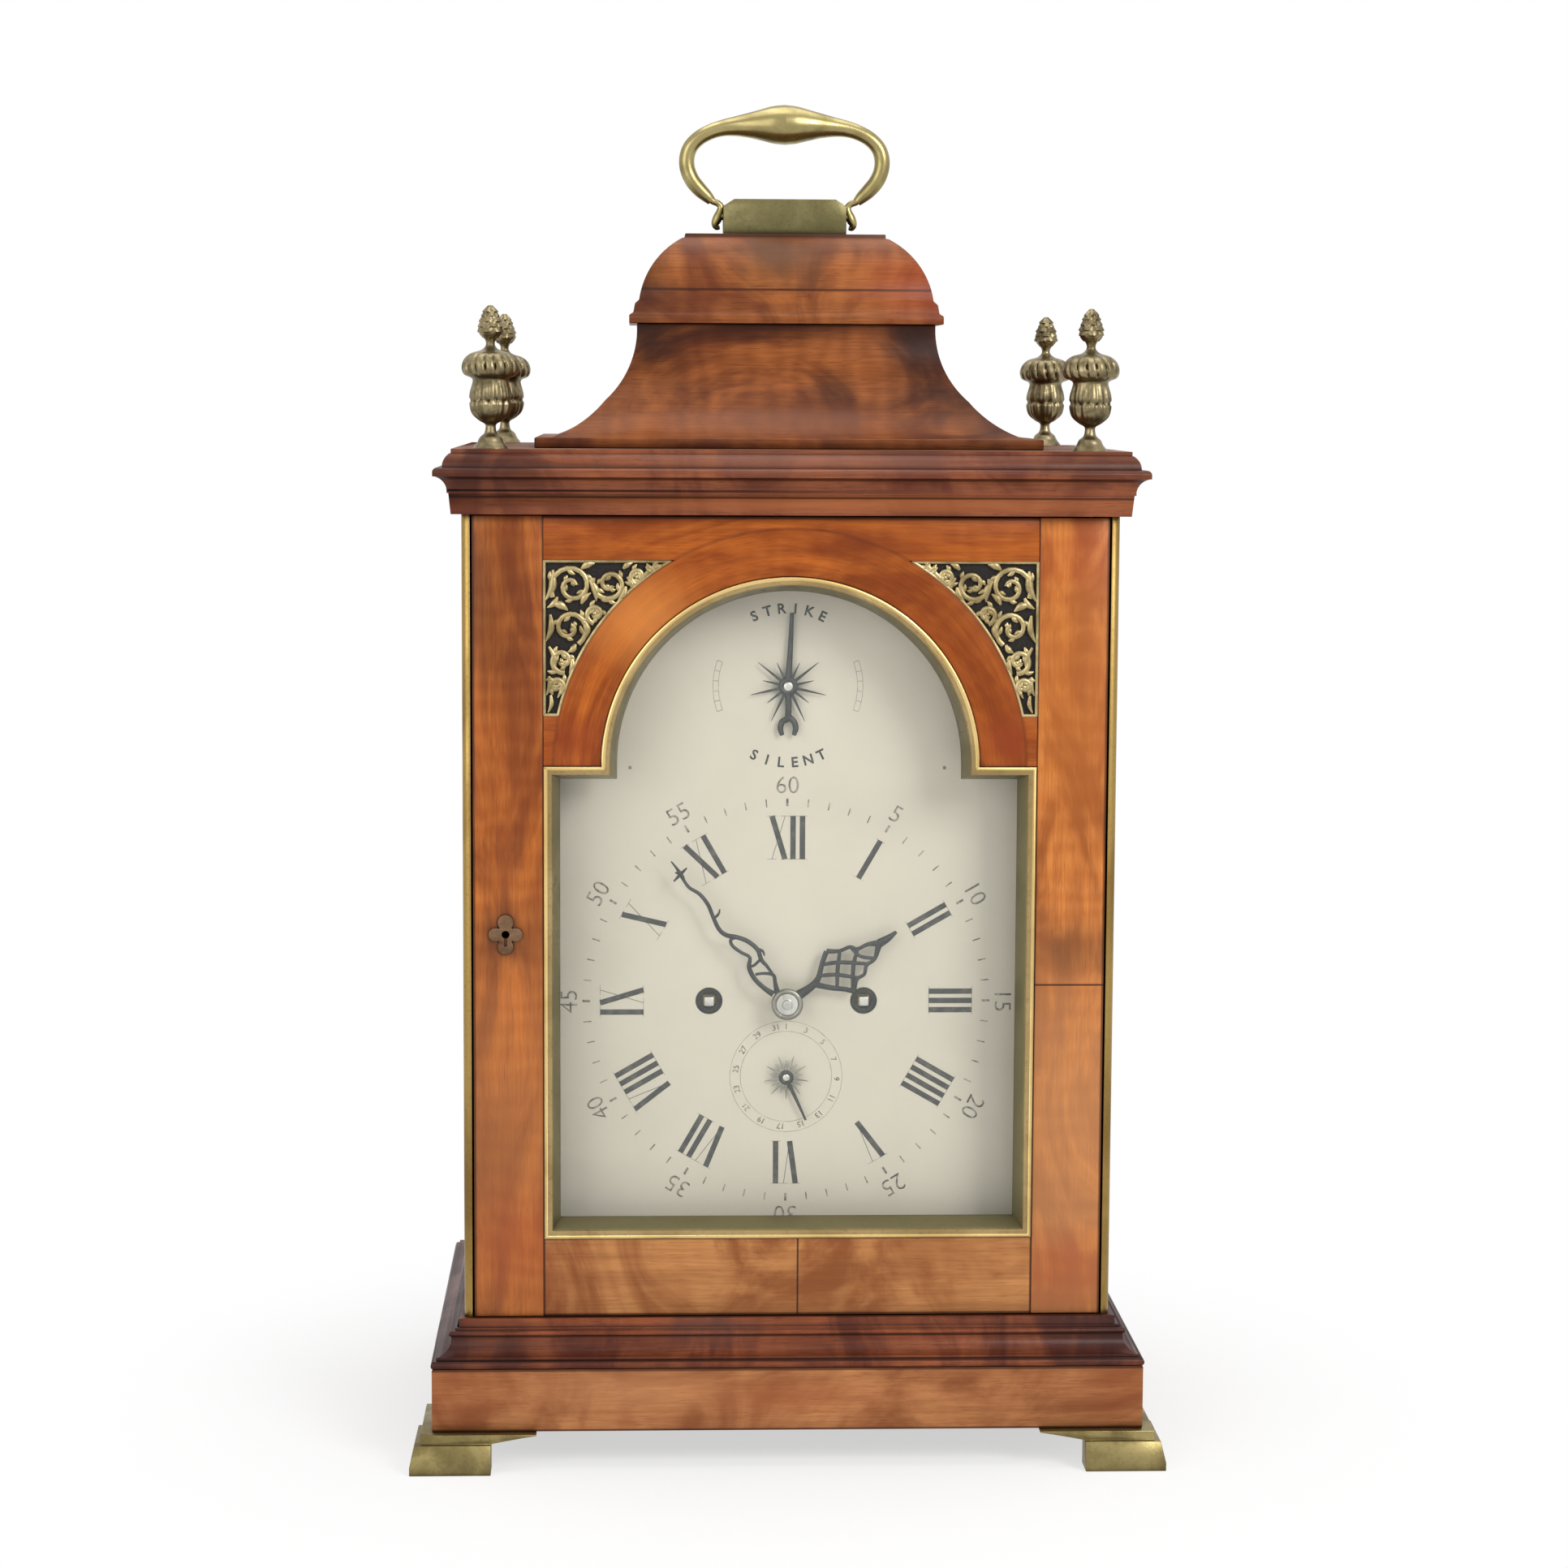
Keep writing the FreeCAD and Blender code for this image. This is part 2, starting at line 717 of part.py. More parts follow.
def carrying_handle():
    """bail handle: a swelling grip, two round loops, and an upright eye with a pin at each end"""
    rings = []
    for side in (-1, 1):
        ordered = grip_sections[:0:-1] if side < 0 else grip_sections
        for x, z, radius in ordered:
            lean = pt(1, 0, -side * grip_end_lean * (x / grip_sections[-1][0]) ** 2)
            rings.append(Part.Wire([Part.makeCircle(radius, pt(side * x, 0, cap_top + z), lean)]))
    grip = Part.makeLoft(rings, True, False)
    widest = cap_top + loop_widest_height
    end_x, end_z = grip_sections[-1][0], cap_top + grip_sections[-1][1]
    heel = (loop_heel_x, cap_top + loop_heel_height)
    upper = quarter_loop((end_x, end_z), loop_reach, widest)
    lower = quarter_loop(heel, loop_reach, widest)
    knee = Part.makeSphere(loop_radius, pt(loop_reach, 0, widest))
    ankle = Part.makeSphere(loop_radius, pt(heel[0], 0, heel[1]))
    wrist = Part.makeSphere(loop_radius, pt(end_x, 0, end_z))
    eye_x = handle_plate_half_width + eye_gap + eye_radius
    low, high = handle_pivot_z - eye_half_height, handle_pivot_z + eye_half_height
    eye = post(eye_radius, eye_x, 0, low, high)
    caps = [Part.makeSphere(eye_radius, pt(eye_x, 0, z)) for z in (low, high)]
    pin = Part.makeCylinder(handle_pin_radius, eye_x - handle_plate_half_width + handle_pin_length,
                            pt(handle_plate_half_width - handle_pin_length, 0, handle_pivot_z), pt(1, 0, 0))
    right = joined([upper, lower, knee, ankle, wrist, eye, pin] + caps)
    return joined([grip, right, mirrored(right)])


def finial_places():
    x = half_width - finial_inset_x
    y = half_depth - finial_inset_y
    return [(x, -y), (-x, -y), (x, y), (-x, y)]


def finials():
    turned = []
    for x, y in finial_places():
        points = [point[:-1] + (cornice_top + point[-1],) if len(point) == 2 else
                  (point[0], cornice_top + point[1], point[2], cornice_top + point[3])
                  for point in finial_outline]
        urn = turned_upright(points, x, y)
        spigot = post(finial_spigot_radius, x, y, cornice_top - finial_spigot_length, cornice_top + 1)
        turned.append(joined([urn, spigot]))
    return turned


# ---- front door
lock_z = door_bottom + lock_rise
lock_x = -(door_half - lock_x_inset)
pivot_plate_y = door_front + pivot_setback - pivot_pin_radius - pivot_plate_margin


def pivot_plate(z0):
    x0 = pivot_x + pivot_pin_radius + pivot_plate_end - pivot_plate_length
    return box(x0, x0 + pivot_plate_length, pivot_plate_y, pivot_plate_y + pivot_plate_width,
               z0, z0 + pivot_plate_thickness)


def stile(left):
    x0, x1 = (-door_half, -stile_inner) if left else (stile_inner, door_half)
    board = box(x0, x1, door_front, door_back, door_bottom, door_top)
    if left:
        key_way = rod(keyhole_radius, lock_x, lock_z, door_front, door_back)
        return less(board, [key_way])
    return less(board, [pivot_plate(door_bottom), pivot_plate(door_top - pivot_plate_thickness)])


def door_bottom_rail():
    return box(-stile_inner, stile_inner, door_front, door_back, door_bottom, opening_bottom)


def spandrel(inset):
    """outline of the right-hand fret opening, drawn in by inset"""
    r = arch_radius + arch_band + inset
    x1 = stile_inner - inset
    top = door_top - spandrel_top_margin - inset
    low = arch_z + spandrel_foot_rise + inset
    rise_top, rise_low = top - arch_z, low - arch_z
    start = math.sqrt(r * r - rise_top ** 2)
    end = math.sqrt(r * r - rise_low ** 2)
    half_way = (math.asin(rise_top / r) + math.asin(rise_low / r)) / 2
    return [(start, top), (r * math.cos(half_way), arch_z + r * math.sin(half_way), end, low),
            (x1, low), (x1, top)]


def door_arch_rail():
    board = box(-stile_inner, stile_inner, door_front, door_back, arch_z, door_top)
    arch = rod(arch_radius, 0, arch_z, door_front, door_back)
    right = slab(spandrel(0), door_front, door_back)
    return less(board, [arch, right, mirrored(right)])


def sight_ring():
    """brass lining of the opening, splayed in towards the glass"""
    front = door_front - ring_proud
    back = door_front + ring_depth
    solid = slab(arched(0.1), front, back)
    wide = outline_wire(arched(ring_face), facing(front))
    narrow = outline_wire(arched(ring_splay), facing(back))
    return less(solid, [Part.makeLoft([wide, narrow], True, True)])


def door_glass():
    front = door_front + ring_depth
    return slab(arched(0.3), front, front + door_glass_thickness)


def spandrel_frets():
    """pierced scroll frets: a border with curled bars across it"""
    front = door_front + fret_recess
    back = front + fret_thickness
    whole = slab(spandrel(0.1), front, back)
    border = less(whole, [slab(spandrel(fret_border), front, back)])
    top = door_top - spandrel_top_margin
    curls = []
    for across, down, radius in fret_curls:
        x, z = stile_inner - across, top - down
        curls.append(less(rod(radius, x, z, front, back), [rod(radius - fret_bar, x, z, front, back)]))
    scroll = joined(curls).common(whole)
    right = joined([border, scroll])
    return [right, mirrored(right)]


def fret_backings():
    front = door_front + fret_recess + fret_thickness
    right = slab(spandrel(0.2), front, front + cloth_thickness)
    return [right, mirrored(right)]


def keyhole_plate():
    """four-lobed plate on the left stile, pierced for the key"""
    front = door_front - keyhole_plate_thickness
    discs = [rod(radius, lock_x + x, lock_z + z, front, door_front) for x, z, radius in keyhole_lobes]
    slot = box(lock_x - keyhole_slot_width / 2, lock_x + keyhole_slot_width / 2, front, door_front,
               lock_z - keyhole_slot_drop, lock_z)
    return less(joined(discs), [rod(keyhole_radius, lock_x, lock_z, front, door_front), slot])


def bolt_box(clearance):
    """the bolt's own box, or with clearance the channel it slides in"""
    left = -(panel_inner - lock_side_gap)
    y0 = door_back + bolt_setback
    return box(left, left + bolt_length, y0 - clearance, y0 + bolt_thickness + clearance,
               lock_z - bolt_height / 2 - clearance, lock_z + bolt_height / 2 + clearance)


def door_lock():
    left = -(panel_inner - lock_side_gap)
    case = box(left, left + lock_width, door_back, door_back + lock_thickness,
               lock_z - lock_height / 2, lock_z + lock_height / 2)
    return less(case, [bolt_box(fit)])


def lock_bolt():
    return bolt_box(0)


def door_pivots():
    low = joined([pivot_plate(door_bottom),
                  post(pivot_pin_radius, pivot_x, pivot_y, body_bottom - pivot_pin_length, door_bottom + 1)])
    high = joined([pivot_plate(door_top - pivot_plate_thickness),
                   post(pivot_pin_radius, pivot_x, pivot_y, door_top - 1, body_top + pivot_pin_length)])
    return [low, high]


# ---- back door
def back_rect(inset):
    x0 = -(panel_inner - back_hinge_gap) + inset
    x1 = panel_inner - back_lock_gap - inset
    z0, z1 = door_bottom + inset, door_top - inset
    return [(x0, z0), (x1, z0), (x1, z1), (x0, z1)]


def back_door_frame():
    glass_back = back_door_inner + back_door_thickness / 2
    board = slab(back_rect(0), back_door_inner, half_depth)
    hole = slab(back_rect(back_door_rail), back_door_inner, half_depth)
    rebate = slab(back_rect(back_door_rail - back_rebate), back_door_inner, glass_back)
    return less(board, [hole, rebate])


def back_door_glass():
    glass_back = back_door_inner + back_door_thickness / 2
    return slab(back_rect(back_door_rail - back_rebate + 0.2), glass_back - back_glass_thickness, glass_back)


def hinge_half(door_side):
    """leaves and knuckles of both hinges, of the door's half or the case's half"""
    halves = []
    side = 1 if door_side else -1
    height = knuckle_count * knuckle_length
    for low in (door_bottom + hinge_end_distance, door_top - hinge_end_distance - height):
        near = hinge_axis_x + side * (knuckle_radius + leaf_margin)
        far = near + side * leaf_width
        leaf_back = half_depth + leaf_thickness
        shapes = [box(min(near, far), max(near, far), half_depth, leaf_back, low, low + height)]
        for index in range(knuckle_count):
            if (index % 2 == 1) == door_side:
                z0 = low + index * knuckle_length + leaf_margin / 2
                z1 = z0 + knuckle_length - leaf_margin
                shapes.append(post(knuckle_radius, hinge_axis_x, hinge_axis_y, z0, z1))
                shapes.append(box(min(hinge_axis_x, near), max(hinge_axis_x, near),
                                  half_depth + knuckle_stand_off, leaf_back, z0, z1))
        half = joined(shapes)
        if door_side:
            half = less(half, [post(hinge_pin_radius + fit, hinge_axis_x, hinge_axis_y, low, low + height)])
        else:
            half = joined([half, post(hinge_pin_radius, hinge_axis_x, hinge_axis_y, low, low + height)])
        halves.append(half)
    return halves


# ---- dial
def dial_surround():
    board = box(-panel_inner, panel_inner, dial_back, surround_back, body_bottom, body_top)
    hole = slab(dial_outline(dial_overlap), dial_back, surround_back)
    return less(board, [hole])


def dial_outline(inset):
    """the dial's own arched outline, a little larger than the opening seen in the door"""
    return arched(inset - dial_margin)


def dial_feet_places():
    places = []
    for x in (-dial_foot_x, dial_foot_x):
        places += [(x, centre_z + upper_foot_rise), (x, centre_z - lower_foot_drop)]
    return places


def dial_plate():
    plate = slab(dial_outline(0), dial_front, dial_back)
    holes = [rod(centre_hole_radius, 0, centre_z, dial_front, dial_back),
             rod(small_arbor_radius + fit, 0, arch_z + silent_arbor_rise, dial_front, dial_back),
             rod(small_arbor_radius + fit, 0, centre_z - date_arbor_drop, dial_front, dial_back)]
    for x in (-winding_offset, winding_offset):
        holes.append(rod(winding_hole_radius, x, centre_z, dial_front, dial_back))
    feet = [rod(dial_foot_radius, x, z, dial_front + 1, plates_in) for x, z in dial_feet_places()]
    return joined([less(plate, holes)] + feet)


def star(x, z, radius, rays, y0, y1):
    """star of pointed rays on a small hub"""
    corners = []
    for k in range(rays * 2):
        reach = radius if k % 2 == 0 else radius * star_hub_share
        angle = math.pi * k / rays
        corners.append((x + reach * math.cos(angle), z + reach * math.sin(angle)))
    return slab(corners, y0, y1)


def needle_blade(x, z, length, y0, y1):
    """tapered blade pointing right from its arbor"""
    root, tip = small_needle_root / 2, small_needle_tip / 2
    return slab([(x, z - root), (x + length, z - tip), (x + length, z + tip), (x, z + root)], y0, y1)


def silent_hand():
    x, z = 0, arch_z + silent_arbor_rise
    back = dial_front - small_hand_gap
    front = back - small_hand_thickness
    body = star(x, z, silent_star_radius, silent_star_rays, front, back)
    needle = spun(needle_blade(x, z, silent_hand_length, front, back), x, z, 90)
    tail_z = z - silent_tail[0][1]
    left = [(x - across, tail_z + up) for across, up in silent_tail]
    right = [(x + across, tail_z + up) for across, up in reversed(silent_tail[:-1])]
    tail = slab(left + right, front, back)
    arbor = rod(small_arbor_radius, x, z, front, surround_back)
    return joined([body, needle, tail, arbor])


def date_hand():
    x, z = 0, centre_z - date_arbor_drop
    back = dial_front - small_hand_gap
    front = back - small_hand_thickness
    body = star(x, z, date_star_radius, date_star_rays, front, back)
    needle = spun(needle_blade(x, z, date_hand_length, front, back), x, z, date_hand_angle)
    arbor = rod(small_arbor_radius, x, z, front, plate_front - 1)
    return joined([body, needle, arbor])


def hour_hand():
    """pierced leaf on a ring, drawn pointing right and then turned to its hour"""
    y0, y1 = hour_hand_y, hour_hand_y + hand_thickness
    edge = [(a[0], centre_z + a[1]) + tuple(b + centre_z * k for k, b in enumerate(a[2:])) for a in hour_leaf]
    edge += [(hour_hand_length, centre_z + hour_tip_half), (hour_hand_length, centre_z)]
    half = slab([(hour_leaf[0][0], centre_z)] + edge, y0, y1)
    leaf = joined([half, half.mirror(pt(0, 0, centre_z), pt(0, 0, 1))])
    holes = []
    for along, across, radius in hour_piercings:
        holes.append(rod(radius, along, centre_z + across, y0, y1))
        if across:
            holes.append(rod(radius, along, centre_z - across, y0, y1))
    hub = rod(hour_pipe_radius + hub_wall, 0, centre_z, y0, y1)
    hand = less(joined([less(leaf, holes), hub]), [rod(hour_pipe_radius, 0, centre_z, y0, y1)])
    return spun(hand, 0, centre_z, hour_hand_angle)


def minute_hand():
    """slim hand with two pierced loops near the hub and a cross near its tip"""
    y0, y1 = minute_hand_y, minute_hand_y + hand_thickness
    tip, z = minute_hand_length, centre_z
    root, point = minute_root_half, minute_tip_half
    blade = slab([(0, z - root), (tip, z - point), (tip, z + point), (0, z + root)], y0, y1)
    cross_x = tip - minute_cross_from_tip
    cross = box(cross_x - hand_bar / 2, cross_x + hand_bar / 2, y0, y1,
                z - minute_cross_half, z + minute_cross_half)
    shapes = [blade, cross]
    for along, across, radius in minute_loops:
        for side in (-1, 1):
            outer = rod(radius, along, z + side * across, y0, y1)
            shapes.append(less(outer, [rod(radius - hand_bar, along, z + side * across, y0, y1)]))
    hub = rod(cannon_pipe_radius + hub_wall, 0, z, y0, y1)
    hand = less(joined(shapes + [hub]), [rod(cannon_pipe_radius, 0, z, y0, y1)])
    return spun(hand, 0, z, minute_hand_angle)


def hand_collet():
    y1 = minute_hand_y
    y0 = y1 - collet_thickness
    inner, outer = centre_arbor_radius, collet_radius
    return turned_lying([(inner, y0), (outer - collet_bevel, y0), (outer, y0 + collet_bevel), (outer, y1),
                         (inner, y1)], 0, centre_z)


# ---- movement frame
def arbor_holes():
    """places and sizes of the arbors that turn in the plates"""
    x = winding_offset
    thin = arbor_radius + fit
    holes = [(0, centre_z, centre_arbor_radius + fit), (third_x, third_z, thin), (0, escape_z, thin),
             (0, pallet_z, thin), (pin_x, pin_z, thin), (fly_x, fly_z, thin),
             (-hammer_x, centre_z + hammer_rise, thin), (minute_x, minute_z, minute_arbor_radius + fit)]
    holes += [(side * x, centre_z, fusee_arbor_radius + fit) for side in (-1, 1)]
    holes += [(side * barrel_offset, barrel_z, fusee_arbor_radius + fit) for side in (-1, 1)]
    return holes


def pillar_places():
    x = plate_half_width - pillar_inset
    low, high = plate_bottom + pillar_inset, plate_top - pillar_inset
    return [(x, low), (-x, low), (x, high), (-x, high), (0, low)]


def plate(y0, extra):
    w = plate_half_width
    blank = box(-w, w, y0, y0 + plate_thickness, plate_bottom, plate_top)
    holes = [rod(radius, x, z, y0, y0 + plate_thickness) for x, z, radius in arbor_holes() + extra]
    holes += [rod(pillar_spigot, x, z, y0, y0 + plate_thickness) for x, z in pillar_places()]
    return less(blank, holes)


def front_plate():
    return plate(plate_front, [(x, z, dial_foot_radius) for x, z in dial_feet_places()])


def back_plate():
    return plate(plates_out, [])


def plate_pillars():
    """turned pillars with a belly and a ring at each end, riveted through both plates"""
    turned = []
    for x, z in pillar_places():
        a, b = plates_in, plates_out
        middle = (a + b) / 2
        neck, belly = pillar_ring + pillar_neck, pillar_belly_length / 2
        points = [(0, plate_front), (pillar_spigot, plate_front), (pillar_spigot, a), (pillar_belly, a),
                  (pillar_belly, a + pillar_ring), (pillar_radius, a + neck), (pillar_radius, middle - belly),
                  (pillar_belly, middle, pillar_radius, middle + belly), (pillar_radius, b - neck),
                  (pillar_belly, b - pillar_ring), (pillar_belly, b), (pillar_spigot, b),
                  (pillar_spigot, plate_back), (0, plate_back)]
        turned.append(turned_lying(points, x, z))
    return turned


def seat_board():
    """board under the movement, and the two battens on the sides that carry it"""
    top = plate_bottom
    low = top - seat_thickness
    board = box(-panel_inner, panel_inner, surround_back, plate_back + seat_overhang, low, top)
    right = box(panel_inner - batten_width, panel_inner, surround_back, back_door_inner - batten_end_gap,
                low - batten_height, low)
    return [board, right, mirrored(right)]


def back_cock():
    """bridge over the pallet arbor, with the slotted lug that the pendulum hangs in"""
    w, h = cock_half_width, cock_half_height
    lug_low, lug_back = pallet_z + lug_rise, pendulum_y + lug_overhang
    half = lug_slot / 2
    bridge = box(-w, w, cock_y, cock_y + cock_thickness, pallet_z - h, pallet_z + h)
    right = box(w - cock_foot_width, w, plate_back, cock_y, pallet_z - h, pallet_z + h)
    lug = box(-lug_half_width, lug_half_width, cock_y, lug_back, lug_low, pallet_z + h)
    slot = box(-half, half, pendulum_y - spring_width / 2 - lug_slot_gap, lug_back, lug_low, pallet_z + h)
    bridge = joined([bridge, right, mirrored(right), lug])
    return less(bridge, [slot, rod(arbor_radius + fit, 0, pallet_z, cock_y, cock_y + cock_thickness)])


def bell_stand():
    """strip up from the back plate into the bell, with the stud that carries it"""
    crown_z = bell_mouth_z + bell_height
    w = stand_width / 2
    strip = box(-w, w, plate_back, plate_back + stand_thickness,
                centre_z + stand_foot_rise, crown_z - bell_wall)
    stud = post(stud_radius, 0, bell_y, crown_z - bell_wall - stud_root, crown_z + stud_rise)
    nut = post(bell_nut_radius, 0, bell_y, crown_z, crown_z + bell_nut_height)
    return joined([strip, stud, nut])


def strike_bell():
    """open bell, mouth down, bored for the stand's stud"""
    r, h, t, z = bell_radius, bell_height, bell_wall, bell_mouth_z
    shoulder = r * bell_shoulder_share
    mid_r, mid_z = r * bell_middle[0], z + h * bell_middle[1]
    points = [(r, z), (mid_r, mid_z, shoulder, z + h), (stud_radius, z + h), (stud_radius, z + h - t),
              (shoulder, z + h - t), (mid_r - t, mid_z - t / 2, r - t, z)]
    return turned_upright(points, 0, bell_y)


# ---- wheels
def toothed(teeth, module, flank, x, z, y0, y1, aim):
    """disc with teeth; one tooth is centred on the angle aim"""
    pitch = teeth * module / 2
    step = 2 * math.pi / teeth
    corners = []
    for tooth in range(teeth):
        middle = math.radians(aim) + tooth * step
        rising = [(pitch + rise * module, middle - share * step) for rise, share in flank]
        falling = [(pitch + rise * module, middle + share * step) for rise, share in reversed(flank)]
        corners += [(x + r * math.cos(a), z + r * math.sin(a)) for r, a in rising + falling]
    return slab(corners, y0, y1)


def wheel(teeth, module, x, z, y0, y1, aim):
    """crossed-out wheel with four arms"""
    root = teeth * module / 2 + tooth_outline[0][0] * module
    rim = root - teeth * module * rim_share
    blank = toothed(teeth, module, tooth_outline, x, z, y0, y1, aim)
    gap = less(rod(rim, x, z, y0, y1), [rod(rim * hub_share, x, z, y0, y1)])
    arm = rim * arm_share
    bars = [box(x - rim, x + rim, y0, y1, z - arm / 2, z + arm / 2),
            box(x - arm / 2, x + arm / 2, y0, y1, z - rim, z + rim)]
    return less(blank, [less(gap, bars)])


def pinion(leaves, module, x, z, y0, y1, aim):
    """pinion with a gap, not a leaf, centred on the angle aim"""
    return toothed(leaves, module, leaf_outline, x, z, y0, y1, aim + 180 / leaves)


def arbor(x, z, radius=arbor_radius):
    """arbor between the plates, with its ends just through them"""
    return rod(radius, x, z, plate_front - pivot_overrun, plate_back + pivot_overrun)


def centre_wheel():
    y0 = plates_in + centre_layer
    tip = minute_hand_y - collet_thickness - arbor_tip
    shapes = [wheel(centre_teeth, centre_module, 0, centre_z, y0, y0 + wheel_thickness, third_direction),
              pinion(centre_pinion_leaves, great_module, 0, centre_z, great_y - pinion_overlap,
                     great_y + great_thickness + pinion_overlap, 0),
              rod(centre_arbor_radius, 0, centre_z, tip, plate_back + pivot_overrun)]
    return joined(shapes)


def cannon_wheel():
    """wheel and pipe driven by the centre arbor, which carries the minute hand"""
    back = plate_front - motion_gap
    front = back - wheel_thickness
    blank = toothed(motion_teeth, motion_module, tooth_outline, 0, centre_z, front, back, motion_direction)
    pipe = rod(cannon_pipe_radius, 0, centre_z, minute_hand_y, back)
    return less(joined([blank, pipe]), [rod(centre_arbor_radius, 0, centre_z, minute_hand_y, back)])


def minute_wheel():
    back = plate_front - motion_gap
    front = back - wheel_thickness
    half = 180 / motion_teeth
    blank = toothed(motion_teeth, motion_module, tooth_outline, minute_x, minute_z, front, back,
                    motion_direction + 180 + half)
    leaves = pinion(minute_leaves, hour_module, minute_x, minute_z, hour_wheel_y - pinion_overlap, front,
                    motion_direction + 180)
    spindle = rod(minute_arbor_radius, minute_x, minute_z, hour_wheel_y - pinion_overlap, plates_in)
    return joined([blank, leaves, spindle])


def hour_wheel():
    y0 = hour_wheel_y
    y1 = y0 + wheel_thickness
    blank = toothed(hour_teeth, hour_module, tooth_outline, 0, centre_z, y0, y1, motion_direction)
    pipe = rod(hour_pipe_radius, 0, centre_z, hour_hand_y, y1)
    return less(joined([blank, pipe]), [rod(cannon_pipe_radius + fit, 0, centre_z, hour_hand_y, y1)])


def great_wheel(side, teeth, module, aim):
    x = side * winding_offset
    y0, y1 = great_y, great_y + great_thickness
    blank = wheel(teeth, module, x, centre_z, y0, y1, aim)
    collar = rod(fusee_arbor_radius + collar_wall, x, centre_z, y0, y1)
    return less(joined([blank, collar]), [rod(fusee_arbor_radius + fit, x, centre_z, y0, y1)])


def fusee(side):
    """grooved cone on the winding arbor, which ends in the square seen in the dial"""
    x = side * winding_offset
    front = plates_in + fusee_front
    back = great_y - fusee_wheel_gap
    pitch = (back - front) / fusee_turns
    growth = (fusee_large_radius - fusee_small_radius) / fusee_turns
    points = [(0, front), (fusee_small_radius, front)]
    for turn in range(fusee_turns):
        y = front + turn * pitch
        radius = fusee_small_radius + turn * growth
        points += [(radius - groove_depth, y + pitch / 2), (radius + growth, y + pitch)]
    points.append((0, back))
    cone = turned_lying(points, x, centre_z)
    half = winding_square / 2
    square = box(x - half, x + half, dial_front + square_recess, plate_front,
                 centre_z - half, centre_z + half)
    return joined([cone, arbor(x, centre_z, fusee_arbor_radius), square])


def barrel(side):
    """spring barrel, hollow, on its arbor"""
    x = side * barrel_offset
    front = plates_in + fusee_front
    back = great_y - fusee_wheel_gap
    drum = less(rod(barrel_radius, x, barrel_z, front, back),
                [rod(barrel_radius - barrel_wall, x, barrel_z, front + barrel_wall, back - barrel_wall)])
    return joined([drum, arbor(x, barrel_z, fusee_arbor_radius)])


def third_wheel():
    y0 = plates_in + third_layer
    centre_y = plates_in + centre_layer
    aim = math.degrees(math.atan2(escape_z - third_z, -third_x))
    return joined([wheel(third_teeth, third_module, third_x, third_z, y0, y0 + wheel_thickness, aim),
                   pinion(third_leaves, centre_module, third_x, third_z, centre_y - pinion_overlap,
                          centre_y + wheel_thickness + pinion_overlap, third_direction + 180),
                   arbor(third_x, third_z)])


def escape_wheel():
    y0 = plates_in + escape_layer
    third_y = plates_in + third_layer
    aim = math.degrees(math.atan2(escape_z - third_z, -third_x))
    corners = []
    root = escape_radius - escape_tooth_depth
    for tooth in range(escape_teeth):
        a = 2 * math.pi * tooth / escape_teeth
        b = a + 2 * math.pi / escape_teeth * escape_lean
        corners += [(escape_radius * math.cos(a), escape_z + escape_radius * math.sin(a)),
                    (root * math.cos(b), escape_z + root * math.sin(b))]
    y1 = y0 + wheel_thickness
    blank = slab(corners, y0, y1)
    half = escape_arm / 2
    gap = less(rod(root - escape_rim, 0, escape_z, y0, y1),
               [rod(wheel_hub_radius, 0, escape_z, y0, y1),
                box(-half, half, y0, y1, escape_z - root, escape_z + root),
                box(-root, root, y0, y1, escape_z - half, escape_z + half)])
    return joined([less(blank, [gap]),
                   pinion(escape_leaves, third_module, 0, escape_z, third_y - pinion_overlap,
                          third_y + wheel_thickness + pinion_overlap, aim + 180),
                   arbor(0, escape_z)])


def pallets():
    """anchor on its arbor, with the crutch that embraces the pendulum rod"""
    y0 = plates_in + escape_layer
    y1 = y0 + wheel_thickness
    z = pallet_z
    edge = [(escape_radius * across, z + escape_radius * up) for across, up in pallet_outline]
    anchor = slab(edge + [(-a, b) for a, b in reversed(edge[1:-1])], y0, y1)
    crutch_y = plate_back + crutch_setback
    crutch_back = crutch_y + crutch_thickness
    half = crutch_width / 2
    spine = rod(arbor_radius, 0, z, plate_front - pivot_overrun, cock_y + cock_thickness)
    blade = box(-half, half, crutch_y, crutch_back, z - crutch_length, z + crutch_eye)
    inner = rod_radius + crutch_fork_gap
    outer = inner + prong_thickness
    fork_low, fork_high = z - crutch_length - half, z - crutch_length + half
    prong = box(inner, outer, crutch_y, pendulum_y + rod_radius + prong_overhang, fork_low, fork_high)
    bridge = box(-outer, outer, crutch_y, crutch_back, fork_low, fork_high)
    return joined([anchor, spine, blade, bridge, prong, mirrored(prong)])


def pendulum():
    """rod, lens bob and rating nut, on a suspension spring that enters the cock's slot"""
    y = pendulum_y
    bob_z = pallet_z - pendulum_length
    r, t = bob_radius, bob_half_thickness
    edge = bob_edge / 2
    round_r, round_y = r * bob_round[0], t * bob_round[1]
    lens = turned_lying([(0, y - t), (round_r, y - round_y, r, y - edge), (r, y + edge),
                         (round_r, y + round_y, 0, y + t)], 0, bob_z)
    stem_end = bob_z - r - stem_below_bob
    clasp_top = pallet_z - clasp_drop
    stem = post(rod_radius, 0, y, stem_end, clasp_top - clasp_height / 2)
    nut = post(rating_nut_radius, 0, y, stem_end + 1, stem_end + 1 + rating_nut_height)
    wide, thin = spring_width / 2, spring_thickness / 2
    clasp = box(-clasp_half_width, clasp_half_width, y - wide, y + wide, clasp_top - clasp_height, clasp_top)
    spring = box(-thin, thin, y - wide, y + wide, clasp_top, pallet_z + spring_rise)
    return joined([lens, stem, nut, clasp, spring])


